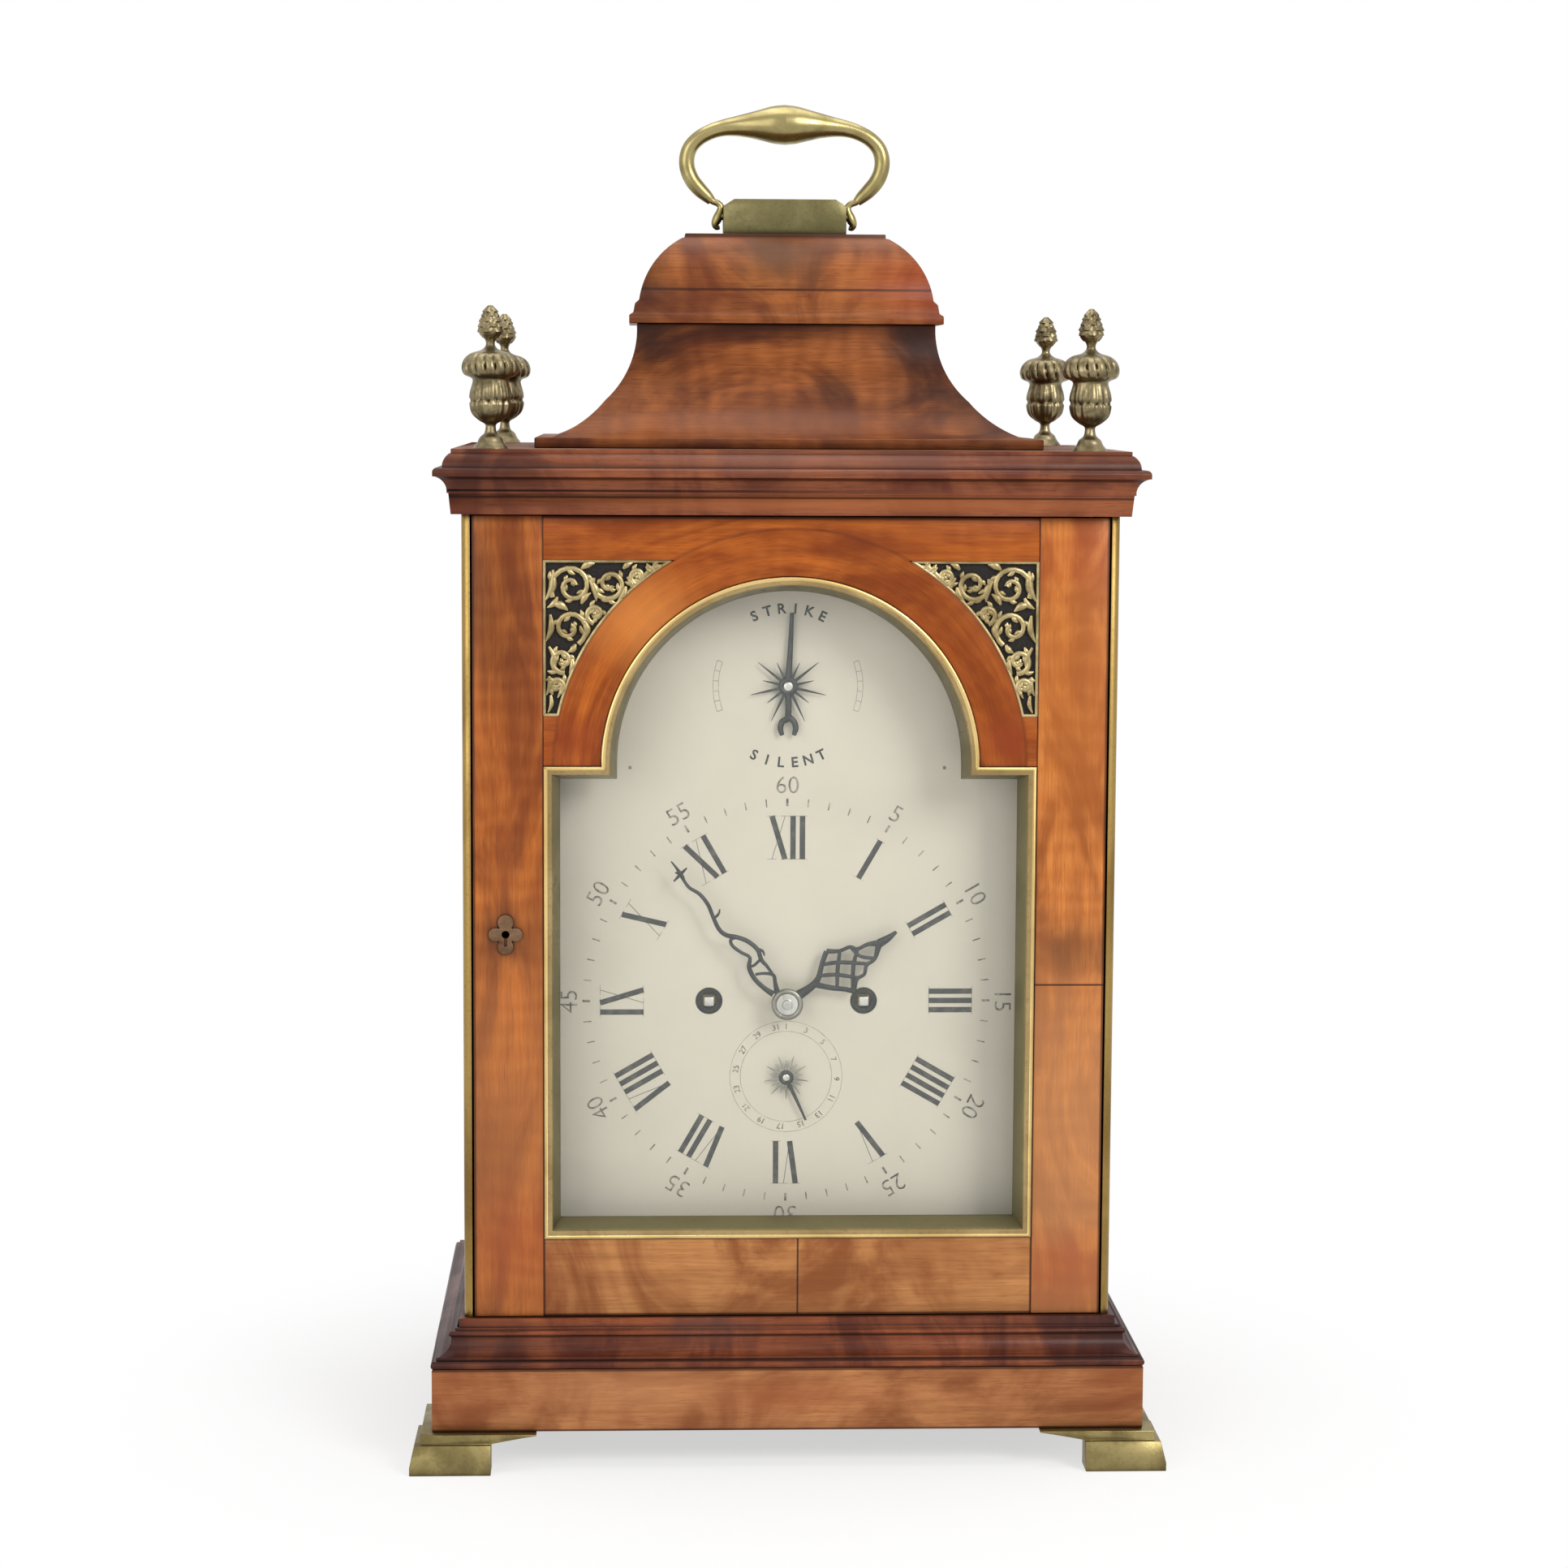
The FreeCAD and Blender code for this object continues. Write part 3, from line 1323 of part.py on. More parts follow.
def pin_wheel():
    y0 = plates_in + pin_layer
    y1 = y0 + wheel_thickness
    shapes = [wheel(pin_teeth, pin_module, pin_x, pin_z, y0, y1, fly_direction),
              pinion(pin_leaves, strike_module, pin_x, pin_z, great_y - pinion_overlap,
                     great_y + great_thickness + pinion_overlap, pin_direction + 180),
              arbor(pin_x, pin_z)]
    for k in range(lifting_pins):
        angle = 2 * math.pi * (k + 0.5) / lifting_pins
        shapes.append(rod(lifting_pin_radius, pin_x + lifting_pin_circle * math.cos(angle),
                          pin_z + lifting_pin_circle * math.sin(angle), y0, y1 + lifting_pin_length))
    return joined(shapes)


def fly():
    """two-bladed air brake on its own pinion"""
    pin_y = plates_in + pin_layer
    front = plates_in + fly_front
    half = fly_thickness / 2
    blade = box(fly_x - fly_half_width, fly_x + fly_half_width, front, front + fly_length,
                fly_z - half, fly_z + half)
    return joined([blade, arbor(fly_x, fly_z),
                   pinion(fly_leaves, pin_module, fly_x, fly_z, pin_y - pinion_overlap,
                          pin_y + wheel_thickness + pinion_overlap, fly_direction + 180)])


def hammer():
    """arbor, arm and head beside the bell's lip, with a tail above the lifting pins"""
    x, z = -hammer_x, centre_z + hammer_rise
    y0 = plates_in + hammer_layer
    y1 = y0 + hammer_arm_width
    middle = (y0 + y1) / 2
    lip = -math.sqrt(bell_radius ** 2 - (abs(middle - bell_y) - hammer_head_radius) ** 2)
    head_right = lip - hammer_gap
    head_z = bell_mouth_z + hammer_head_rise
    head_left = head_right - hammer_head_length
    w = hammer_arm_width / 2
    neck = (head_left + head_right) / 2
    head = Part.makeCylinder(hammer_head_radius, hammer_head_length, pt(head_left, middle, head_z),
                             pt(1, 0, 0))
    arm = slab([(x - w, z), (x + w, z), (neck + w, head_z), (neck - w, head_z)], y0, y1)
    tail_z = pin_z + lifting_pin_circle + lifting_pin_radius + hammer_tail_gap
    tail = slab([(x - w, z), (pin_x - w, tail_z), (pin_x + w, tail_z), (x + w, z)], y0, y1)
    return joined([arbor(x, z), head, arm, tail, rod(hammer_arm_width, x, z, y0, y1)])


def solids_of(made):
    """the separate solids of one piece or of several alike"""
    shapes = made if isinstance(made, list) else [made]
    return [solid for shape in shapes for solid in shape.Solids]


nodes = {
    "bracket_feet": bracket_feet(),
    "plinth_boards": plinth_boards(),
    "base_moulding": mitred(base_outline, plinth_top),
    "bottom_board": bottom_board(),
    "side_panels": side_panels(),
    "corner_strips": corner_strips(),
    "cornice_moulding": mitred(cornice_outline, body_top),
    "top_board": top_board(),
    "bell_top_body": bell_top_body(),
    "bell_top_cap": bell_top_cap(),
    "handle_plate": handle_plate(),
    "carrying_handle": carrying_handle(),
    "finials": finials(),
    "door_stile_left": stile(True),
    "door_stile_right": stile(False),
    "door_bottom_rail": door_bottom_rail(),
    "door_arch_rail": door_arch_rail(),
    "sight_ring": sight_ring(),
    "door_glass": door_glass(),
    "spandrel_frets": spandrel_frets(),
    "fret_backings": fret_backings(),
    "keyhole_plate": keyhole_plate(),
    "door_lock": door_lock(),
    "lock_bolt": lock_bolt(),
    "door_pivots": door_pivots(),
    "back_door_frame": back_door_frame(),
    "back_door_glass": back_door_glass(),
    "back_door_hinges": hinge_half(True),
    "back_case_hinges": hinge_half(False),
    "dial_surround": dial_surround(),
    "dial_plate": dial_plate(),
    "strike_silent_hand": silent_hand(),
    "date_hand": date_hand(),
    "hour_hand": hour_hand(),
    "minute_hand": minute_hand(),
    "hand_collet": hand_collet(),
    "front_plate": front_plate(),
    "back_plate": back_plate(),
    "plate_pillars": plate_pillars(),
    "seat_board": seat_board(),
    "back_cock": back_cock(),
    "bell_stand": bell_stand(),
    "strike_bell": strike_bell(),
    "centre_wheel": centre_wheel(),
    "cannon_wheel": cannon_wheel(),
    "minute_wheel": minute_wheel(),
    "hour_wheel": hour_wheel(),
    "going_great_wheel": great_wheel(1, great_teeth, great_module, 180),
    "going_fusee": fusee(1),
    "going_barrel": barrel(1),
    "third_wheel": third_wheel(),
    "escape_wheel": escape_wheel(),
    "pallets": pallets(),
    "pendulum": pendulum(),
    "strike_great_wheel": great_wheel(-1, strike_great_teeth, strike_module, pin_direction),
    "strike_fusee": fusee(-1),
    "strike_barrel": barrel(-1),
    "pin_wheel": pin_wheel(),
    "fly": fly(),
    "hammer": hammer(),
}

os.makedirs("parts", exist_ok=True)
for name, made in nodes.items():
    solids = solids_of(made)
    shape = solids[0] if len(solids) == 1 else Part.makeCompound(solids)
    shape.exportStep("parts/%s.step" % name)
    print("%-20s solids %d  volume %.1f  valid %s" % (name, len(solids), shape.Volume, shape.isValid()))
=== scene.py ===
import math

import bmesh
import bpy
from mathutils import Matrix, Vector


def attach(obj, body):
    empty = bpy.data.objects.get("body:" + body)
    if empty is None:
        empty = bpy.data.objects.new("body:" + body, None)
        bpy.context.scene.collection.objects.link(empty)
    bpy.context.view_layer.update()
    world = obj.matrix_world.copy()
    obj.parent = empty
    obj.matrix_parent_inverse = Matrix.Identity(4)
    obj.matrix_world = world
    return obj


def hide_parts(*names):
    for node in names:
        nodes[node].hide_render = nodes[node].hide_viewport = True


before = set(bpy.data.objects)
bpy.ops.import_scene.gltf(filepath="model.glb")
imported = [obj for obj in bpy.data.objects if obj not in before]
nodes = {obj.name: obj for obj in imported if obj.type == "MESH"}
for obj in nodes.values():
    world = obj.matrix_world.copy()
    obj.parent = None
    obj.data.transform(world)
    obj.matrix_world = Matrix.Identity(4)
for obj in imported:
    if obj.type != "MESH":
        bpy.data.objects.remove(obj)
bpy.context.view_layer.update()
mm = 0.001
quarter = math.pi / 2


def tone(red, green, blue):
    # a screen colour of 0 to 255 as the linear colour that a shader takes
    def linear(value):
        share = value / 255
        return share / 12.92 if share <= 0.04045 else ((share + 0.055) / 1.055) ** 2.4
    return (linear(red), linear(green), linear(blue), 1.0)


def feed(socket, value):
    # links another node's output, or sets a plain number or colour
    if isinstance(value, bpy.types.NodeSocket):
        socket.id_data.links.new(value, socket)
    else:
        socket.default_value = value


def adder(tree):
    # the function that adds a node to this tree, with its settings and what goes into its sockets
    def add(kind, settings=None, **inputs):
        made = tree.nodes.new(kind)
        for key, value in (settings or {}).items():
            setattr(made, key, value)
        for key, value in inputs.items():
            numbered = key[0] == "i" and key[1:].isdigit()
            feed(made.inputs[int(key[1:]) if numbered else key], value)
        return made

    return add


def startFinish(name, roughness, metallic=0.0):
    # a bare material, and what its finish is built with: add for nodes, plug for the shader's own sockets
    material = bpy.data.materials.new(name)
    material.use_nodes = True
    shader = material.node_tree.nodes["Principled BSDF"]
    add = adder(material.node_tree)

    def plug(value, socketName):
        feed(shader.inputs[socketName], value)

    plug(roughness, "Roughness")
    plug(metallic, "Metallic")
    return material, add, plug, add("ShaderNodeTexCoord").outputs["Object"]


def streaks(add, place, scale, detail=3.0, warp=0.0):
    # noise, drawn out along one axis where the scale is given for each
    scales = scale if isinstance(scale, tuple) else (scale, scale, scale)
    stretched = add("ShaderNodeMapping", Vector=place, Scale=scales).outputs[0]
    return add("ShaderNodeTexNoise", Vector=stretched, Scale=1.0, Detail=detail, Roughness=0.55,
               Distortion=warp).outputs["Fac"]


def spread(add, value, low, high, toLow=0.0, toHigh=1.0):
    made = add("ShaderNodeMapRange", {"interpolation_type": "SMOOTHSTEP"}, Value=value)
    for key, number in (("From Min", low), ("From Max", high), ("To Min", toLow), ("To Max", toHigh)):
        made.inputs[key].default_value = number
    return made.outputs[0]


def mixed(add, share, first, second):
    made = add("ShaderNodeMix", {"data_type": "RGBA"}, i0=share, i6=first, i7=second)
    return made.outputs[2]


def maths(add, how, first, second=0.0):
    return add("ShaderNodeMath", {"operation": how}, i0=first, i1=second).outputs[0]


def gapTo(add, value, where):
    # how far a value is from one number, either way
    return maths(add, "ABSOLUTE", maths(add, "SUBTRACT", value, where))


def alongAxis(add, place, axis):
    return add("ShaderNodeSeparateXYZ", Vector=place).outputs[axis]


def grimed(add, colour, look):
    # darkening that ambient occlusion finds in the corners and hollows: partly grime, partly painted shade
    hollow = add("ShaderNodeAmbientOcclusion", {"samples": 4}, Distance=look["dirtReach"] * mm).outputs["AO"]
    low, high = look["dirtFrom"]
    return mixed(add, spread(add, hollow, low, high, look["dirtShare"], 0.0), colour, look["dirt"])


def roughened(add, plug, height, strength, distance=0.0002):
    plug(add("ShaderNodeBump", Height=height, Strength=strength, Distance=distance).outputs[0], "Normal")


def runRound(add, spot, place, band):
    # inside the band's radius the grain runs round the arch; gives the new place and the radius
    centre, bandRadius = band
    flat = add("ShaderNodeVectorMath", {"operation": "SUBTRACT"}, i0=spot,
               i1=[value * mm for value in centre]).outputs[0]
    across, depth, upward = add("ShaderNodeSeparateXYZ", Vector=flat).outputs
    bend = maths(add, "ARCTAN2", across, upward)
    radius = maths(add, "SQRT", maths(add, "ADD", maths(add, "MULTIPLY", across, across),
                                      maths(add, "MULTIPLY", upward, upward)))
    curled = add("ShaderNodeCombineXYZ", X=radius, Y=depth,
                 Z=maths(add, "MULTIPLY", bend, bandRadius * mm)).outputs[0]
    inBand = maths(add, "LESS_THAN", radius, bandRadius * mm)
    return add("ShaderNodeMix", {"data_type": "VECTOR"}, i0=inBand, i4=place, i5=curled).outputs[1], radius


def stained(add, spot, figure, colour, look):
    # soft patches of colour, some real staining and some painted shade and painted sheen: place across and
    # up, how far they reach each way, strength and tone; the face that they lie on gives their place and
    # reach in depth
    level, depth = look["face"]
    for x, z, reachX, reachZ, strength, stain in look["stains"]:
        near = add("ShaderNodeMapping", {"vector_type": "TEXTURE"}, Vector=spot,
                   Location=(x * mm, level * mm, z * mm), Scale=(reachX * mm, depth * mm, reachZ * mm))
        away = add("ShaderNodeVectorMath", {"operation": "LENGTH"}, i0=near.outputs[0]).outputs["Value"]
        ragged = maths(add, "ADD", away, maths(add, "MULTIPLY", figure, 0.9))
        colour = mixed(add, spread(add, ragged, 0.55, 1.5, strength, 0.0), colour, tone(*stain))
    return colour


def lined(add, spot, colour, look):
    # hairline joints of the veneer, and painted shade lines along edges and steps; each has its axis and
    # place
    for axis, where in look["seams"]:
        away = gapTo(add, alongAxis(add, spot, axis), where * mm)
        colour = mixed(add, spread(add, away, hairline * mm, hairline * mm * 2.2, 0.85, 0.0), colour,
                       tone(38, 18, 12))
    for axis, where, reach in look["rims"]:
        # a painted shade line stands at one distance each side of the middle
        away = gapTo(add, maths(add, "ABSOLUTE", alongAxis(add, spot, axis)), where * mm)
        colour = mixed(add, spread(add, away, reach * mm * 0.4, reach * mm, 0.75, 0.0), colour,
                       tone(44, 20, 12))
    return colour


def polishedWood(name, look):
    # french polished veneer: broad figure, ripple across the grain, fibres, pores, staining with some painted
    # shade and painted sheen among it, joints and painted shade lines, and grime with painted shade in the
    # hollows
    material, add, plug, spot = startFinish(name, look["roughness"])
    place = add("ShaderNodeMapping", Vector=spot, Location=look["shift"], Rotation=look["turn"]).outputs[0]
    if "band" in look:
        place, radius = runRound(add, spot, place, look["band"])
    figure = streaks(add, place, look["figureScale"], 4.0, look["warp"])
    growth = streaks(add, place, (150, 150, 7), 5.0, 0.6)
    fibres = streaks(add, place, (1500, 1500, 55), 2.0)
    pores = streaks(add, place, (2600, 2600, 130), 1.0)
    ripple = add("ShaderNodeTexWave", {"wave_type": "BANDS", "bands_direction": "Z", "wave_profile": "SIN"},
                 Vector=place, Scale=34.0, Distortion=5.0, Detail=2.0)
    ripple.inputs["Detail Scale"].default_value = 1.4
    colour = mixed(add, spread(add, figure, 0.34, 0.66), look["dark"], look["light"])
    colour = mixed(add, spread(add, growth, 0.35, 0.75, 0.0, look["growth"]), colour, look["deep"])
    rippleShare = maths(add, "MULTIPLY", ripple.outputs["Fac"], spread(add, figure, 0.3, 0.8, 0.1, 1.0))
    colour = mixed(add, maths(add, "MULTIPLY", rippleShare, look["ripple"]), colour, look["gleam"])
    colour = mixed(add, spread(add, fibres, 0.3, 0.75, 0.0, 0.3), colour, look["deep"])
    colour = mixed(add, spread(add, pores, 0.62, 0.74, 0.0, 0.5), colour, look["deep"])
    colour = stained(add, spot, figure, colour, look)
    if "band" in look:
        away = gapTo(add, radius, look["band"][1] * mm)
        colour = mixed(add, spread(add, away, hairline * mm, hairline * mm * 5, 0.3, 0.0), colour,
                       tone(70, 30, 14))
    plug(grimed(add, lined(add, spot, colour, look), look), "Base Color")
    plug(spread(add, figure, 0.2, 0.8, look["roughness"] + 0.08, look["roughness"] - 0.05), "Roughness")
    height = maths(add, "ADD", maths(add, "MULTIPLY", fibres, 0.5), maths(add, "MULTIPLY", pores, -0.6))
    roughened(add, plug, height, 0.12)
    plug(look["coat"], "Coat Weight")
    plug(0.2, "Coat Roughness")
    plug(look["specular"], "Specular IOR Level")
    return material


def agedMetal(name, look):
    # cast or rolled metal: tarnish in patches, grime with painted shade in the hollows, fine scratches
    material, add, plug, spot = startFinish(name, look["roughness"], 1.0)
    patches = streaks(add, spot, look["patchScale"], 5.0, 0.8)
    grain = streaks(add, spot, look["grainScale"], 3.0)
    colour = mixed(add, spread(add, patches, 0.32, 0.7), look["bright"], look["dull"])
    colour = mixed(add, spread(add, grain, 0.5, 0.75, 0.0, look["grainShare"]), colour, look["dirt"])
    if "inward" in look:
        # painted shade: the splay behind the front face is coloured darker and greyer than the front
        front, back, inwardTone = look["inward"]
        depth = alongAxis(add, spot, 1)
        colour = mixed(add, spread(add, depth, front * mm, back * mm, 0.0, 0.85), colour, inwardTone)
    plug(grimed(add, colour, look), "Base Color")
    plug(spread(add, patches, 0.3, 0.7, look["roughness"] - 0.07, look["roughness"] + 0.12), "Roughness")
    roughened(add, plug, grain, look["bump"])
    return material


# what each wood or metal has unless its own entry says otherwise; lengths are in mm
polish = {"roughness": 0.36, "shift": (0, 0, 0), "figureScale": (34, 34, 11), "warp": 1.6, "growth": 0.45,
          "ripple": 0.3, "stains": [], "seams": [], "rims": [], "face": (-85, 100), "dirt": tone(34, 16, 12),
          "dirtFrom": (0.35, 0.92), "dirtReach": 6, "dirtShare": 0.75, "coat": 0.05, "specular": 0.15}
patina = {"patchScale": 90, "grainScale": 900, "grainShare": 0.25,
          "dirtFrom": (0.3, 0.85), "dirtReach": 3, "dirtShare": 0.85, "bump": 0.15}


def wood(tones, turn, **own):
    # tones of one wood: dark, light, gleaming and deepest
    named = zip(("dark", "light", "gleam", "deep"), [tone(*given) for given in tones])
    return {**polish, **dict(named), "turn": turn, **own}


def metal(tones, roughness, **own):
    # tones of one metal: bright, dull, and the dark of grime, which is also the painted shade in the hollows
    named = zip(("bright", "dull", "dirt"), [tone(*given) for given in tones])
    return {**patina, **dict(named), "roughness": roughness, **own}


upGrain, crossGrain = (0, 0, 0), (0, quarter, 0)
hairline = 0.22
# painted shade lines by the stile's outer edge and beside the sight ring
stileRims = [(0, 118.6, 1.2), (0, 92.3, 0.6)]
doorTones = [(128, 62, 22), (186, 104, 42), (208, 130, 62), (98, 44, 18)]
# the dark tone is the wood's own in patches on the stiles, and painted shade on the bell, the cap and the
# ends of the cornice; the pale tone is a painted sheen; the darkest is painted shade at the ends of the base
# moulding
smoke, ember, haze, soot = (44, 22, 16), (150, 50, 26), (158, 112, 92), (52, 26, 24)
woods = {
    "leftWood": wood(
        doorTones, upGrain, warp=2.2, rims=stileRims,
        stains=[(-105, 120, 60, 120, 0.42, (162, 108, 68)), (-110, 320, 20, 50, 0.35, smoke),
                (-116, 330, 8, 50, 0.35, smoke), (-100, 85, 30, 30, 0.3, ember),
                (-108, 200, 22, 20, 0.5, smoke)]),
    "rightWood": wood(
        [(144, 76, 30), (200, 120, 56), (222, 148, 80), (116, 56, 24)], upGrain,
        shift=(0.4, 0.2, 0.3), warp=2.4, seams=[(2, 182.6)], rims=stileRims,
        stains=[(105, 120, 60, 110, 0.45, (196, 142, 96)),
                (105, 300, 30, 80, 0.4, (180, 104, 44)), (105, 345, 30, 20, 0.3, ember),
                (105, 75, 30, 18, 0.35, ember), (108, 196, 20, 14, 0.4, smoke)]),
    "railWood": wood(
        [(134, 78, 40), (186, 128, 76), (204, 148, 94), (112, 60, 30)], crossGrain,
        shift=(0.3, 0.1, 0.2), ripple=0.12, figureScale=(16, 16, 20), warp=2.2, seams=[(0, 3.6)],
        rims=[(0, 92.3, 0.7), (2, 56.3, 0.9)],
        stains=[(-100, 70, 50, 30, 0.45, (120, 58, 24))]),
    "archWood": wood(
        [(136, 62, 16), (176, 92, 32), (196, 114, 46), (94, 40, 14)], crossGrain,
        shift=(0.7, 0.2, 0.5), ripple=0.2, warp=2.4, specular=0.12, coat=0.04,
        band=((0, -85, 265.3), 88.5), rims=[(2, 358.3, 1.2)],
        stains=[(-80, 275, 16, 13, 0.6, (128, 52, 26)),
                (80, 275, 16, 13, 0.6, (128, 52, 26)),
                (30, 348, 30, 10, 0.5, (104, 44, 16)),
                (-55, 320, 30, 24, 0.5, (214, 138, 70))]),
    "plinthWood": wood(
        [(130, 76, 42), (182, 122, 76), (204, 148, 94), (112, 60, 30)], crossGrain,
        shift=(0.1, 0.6, 0.4), ripple=0.08, figureScale=(26, 26, 16), face=(-97, 100),
        rims=[(2, 38.2, 0.9), (2, 14.8, 0.9)],
        stains=[(-130, 30, 40, 20, 0.4, (120, 56, 26)),
                (125, 30, 20, 20, 0.4, (120, 56, 26)),
                (0, 27, 50, 9, 0.35, (156, 86, 50)),
                (-60, 30, 50, 12, 0.3, (190, 134, 90))]),
    "sideWood": wood(
        doorTones, upGrain, shift=(0.9, 0.4, 0.1), figureScale=(20, 20, 7), warp=2.2,
        ripple=0.12, coat=0.06),
    # on the bell, the dark patches across its top and down its sides are painted shade, and the pale band low
    # down is a painted sheen
    "bellWood": wood(
        [(98, 48, 24), (152, 86, 42), (184, 112, 60), (64, 30, 18)], crossGrain,
        shift=(0.2, 0.8, 0.3), figureScale=(20, 20, 16), warp=1.8, dirtReach=14, specular=0.08,
        coat=0.03, roughness=0.42, growth=0.3, face=(-50, 200),
        stains=[(0, 432.5, 100, 13, 0.85, smoke), (52, 428, 26, 45, 0.97, smoke),
                (-54, 430, 22, 36, 0.92, smoke), (78, 400, 30, 24, 0.7, smoke),
                (-74, 402, 20, 20, 0.4, smoke), (18, 406, 14, 12, 0.6, smoke),
                (-10, 392, 90, 8, 0.35, haze)]),
    # on the cap, the dark patch at the left is painted shade, the pale bands along the top are painted sheen,
    # and the dark lines are painted shade lines
    "capWood": wood(
        [(106, 52, 26), (158, 92, 46), (184, 112, 60), (64, 30, 18)], crossGrain,
        shift=(0.5, 0.1, 0.6), figureScale=(20, 20, 22), warp=2.0, specular=0.12, face=(-30, 200),
        rims=[(2, 464.7, 1.1), (2, 443.5, 0.7)],
        stains=[(-4, 456, 26, 18, 0.85, (98, 66, 44)), (50, 445, 34, 20, 0.4, ember),
                (-56, 448, 16, 26, 0.6, smoke), (-30, 463.5, 30, 6, 0.35, haze),
                (30, 463.5, 30, 6, 0.35, haze)]),
    # on the cornice, the dark ends are painted shade, the pale band near the top is a painted sheen, the
    # light line low down is a painted highlight, and the dark lines are painted shade lines
    "mouldingWood": wood(
        [(100, 48, 30), (148, 84, 52), (158, 94, 60), (56, 26, 22)], crossGrain,
        shift=(0.4, 0.5, 0.9), ripple=0.08, roughness=0.38, dirtReach=4, dirtShare=1.0,
        specular=0.14, figureScale=(18, 18, 26), face=(-90, 300),
        rims=[(2, 372.3, 0.7), (2, 365.5, 0.6)],
        stains=[(-120, 375, 60, 12, 0.55, smoke), (120, 378, 50, 8, 0.5, smoke),
                (0, 378.5, 100, 6, 0.3, haze), (30, 363.5, 160, 5, 0.6, (166, 96, 52))]),
    # on the base moulding, the dark ends are painted shade and the dark lines are painted shade lines
    "baseWood": wood(
        [(92, 44, 28), (146, 80, 48), (134, 78, 52), (46, 22, 22)], crossGrain,
        shift=(0.1, 0.3, 0.2), ripple=0.08, roughness=0.38, dirtReach=4, dirtShare=1.0,
        specular=0.12, figureScale=(16, 16, 30), face=(-90, 300),
        rims=[(2, 49.4, 0.7), (2, 41.5, 0.7)],
        stains=[(130, 48, 60, 20, 0.85, soot), (-130, 48, 50, 20, 0.85, soot),
                (-30, 52, 30, 8, 0.5, (104, 68, 56))]),
    "carcassWood": wood(
        [(92, 54, 34), (130, 84, 54), (140, 94, 62), (62, 38, 26)], crossGrain,
        shift=(0.6, 0.3, 0.7), ripple=0.0, roughness=0.6, coat=0.0, specular=0.25),
}
metals = {
    "antiqueBrass": metal(
        [(170, 156, 108), (132, 120, 78), (58, 48, 28)], 0.27, patchScale=50,
        dirtReach=4, dirtShare=0.5, bump=0.01, grainShare=0.05),
    "plateBrass": metal([(118, 110, 76), (94, 88, 58), (50, 44, 28)], 0.42, patchScale=60),
    "footBrass": metal([(146, 132, 88), (106, 94, 60), (58, 48, 30)], 0.42, patchScale=60),
    "finialBrass": metal(
        [(148, 134, 102), (92, 83, 60), (20, 17, 11)], 0.38, patchScale=160,
        dirtReach=4, dirtShare=1.0),
    "ringBrass": metal(
        [(176, 152, 106), (146, 124, 84), (62, 52, 34)], 0.34, patchScale=30,
        # the splay behind the ring's front face is given painted shade
        grainScale=500, dirtShare=0.7, inward=(-85.2, -82.5, tone(128, 122, 92))),
    # a lighter brass for the sight ring's bead: a painted highlight
    "beadBrass": metal(
        [(228, 198, 134), (196, 168, 108), (96, 80, 50)], 0.3, patchScale=30,
        grainShare=0.1, bump=0.03, dirtShare=0.4),
    "stripBrass": metal([(164, 136, 78), (124, 98, 52), (70, 50, 26)], 0.4, patchScale=(40, 40, 12)),
    "movementBrass": metal(
        [(214, 184, 112), (198, 166, 96), (126, 98, 54)], 0.34, patchScale=24,
        grainScale=(900, 900, 120), bump=0.04, dirtShare=0.5),
    "darkBrass": metal([(126, 100, 76), (90, 66, 48), (36, 24, 18)], 0.45),
    "bluedSteel": metal([(74, 72, 72), (54, 52, 52), (28, 26, 26)], 0.45),
    "greySteel": metal([(158, 154, 142), (120, 116, 106), (48, 44, 38)], 0.38, dirtReach=2, dirtShare=1.0),
    "fretBrass": metal([(182, 164, 120), (132, 116, 80), (44, 36, 24)], 0.42, dirtReach=1.5, dirtShare=0.7),
    # the dark of the winding holes: painted shade
    "blackIron": metal([(58, 54, 48), (40, 38, 34), (18, 16, 14)], 0.5),
    "brightSteel": metal(
        [(222, 220, 212), (190, 186, 176), (96, 90, 82)], 0.4, grainScale=(900, 900, 120),
        bump=0.05),
}
finishes = {name: polishedWood(name, look) for name, look in woods.items()}
finishes.update({name: agedMetal(name, look) for name, look in metals.items()})
print("finishes made")


def waxedDial():
    # matt silvered plate gone cream, with faint clouding and a little painted shade in its corners
    material, add, plug, spot = startFinish("silveredDial", 0.55)
    clouds = streaks(add, spot, 14, 4.0, 0.6)
    stipple = streaks(add, spot, 1400, 2.0)
    colour = mixed(add, spread(add, clouds, 0.3, 0.75), tone(222, 214, 195), tone(214, 205, 187))
    colour = mixed(add, spread(add, stipple, 0.55, 0.75, 0.0, 0.12), colour, tone(160, 148, 124))
    # painted shade: the plate darkens a little where ambient occlusion finds corners
    corners = {"dirtReach": 10, "dirtFrom": (0.3, 0.95), "dirtShare": 0.06, "dirt": tone(150, 138, 118)}
    plug(grimed(add, colour, corners), "Base Color")
    roughened(add, plug, stipple, 0.06, 0.0001)
    plug(0.3, "Specular IOR Level")
    return material


def wax(name, roughness, scale, worn, fresh, thin):
    # the black filling of the engraved figures, worn thin in places
    material, add, plug, spot = startFinish(name, roughness)
    patches = streaks(add, spot, scale, 4.0)
    plug(mixed(add, spread(add, patches, *worn), fresh, thin), "Base Color")
    return material


def clearGlass():
    material, add, plug, spot = startFinish("clearGlass", 0.04)
    plug(tone(214, 224, 220), "Base Color")
    waves = streaks(add, spot, (18, 18, 12), 1.0)
    edge = add("ShaderNodeLayerWeight", Blend=0.25).outputs["Fresnel"]
    plug(spread(add, edge, 0.0, 1.0, 0.05, 0.5), "Alpha")
    roughened(add, plug, waves, 0.02, 0.001)
    return material


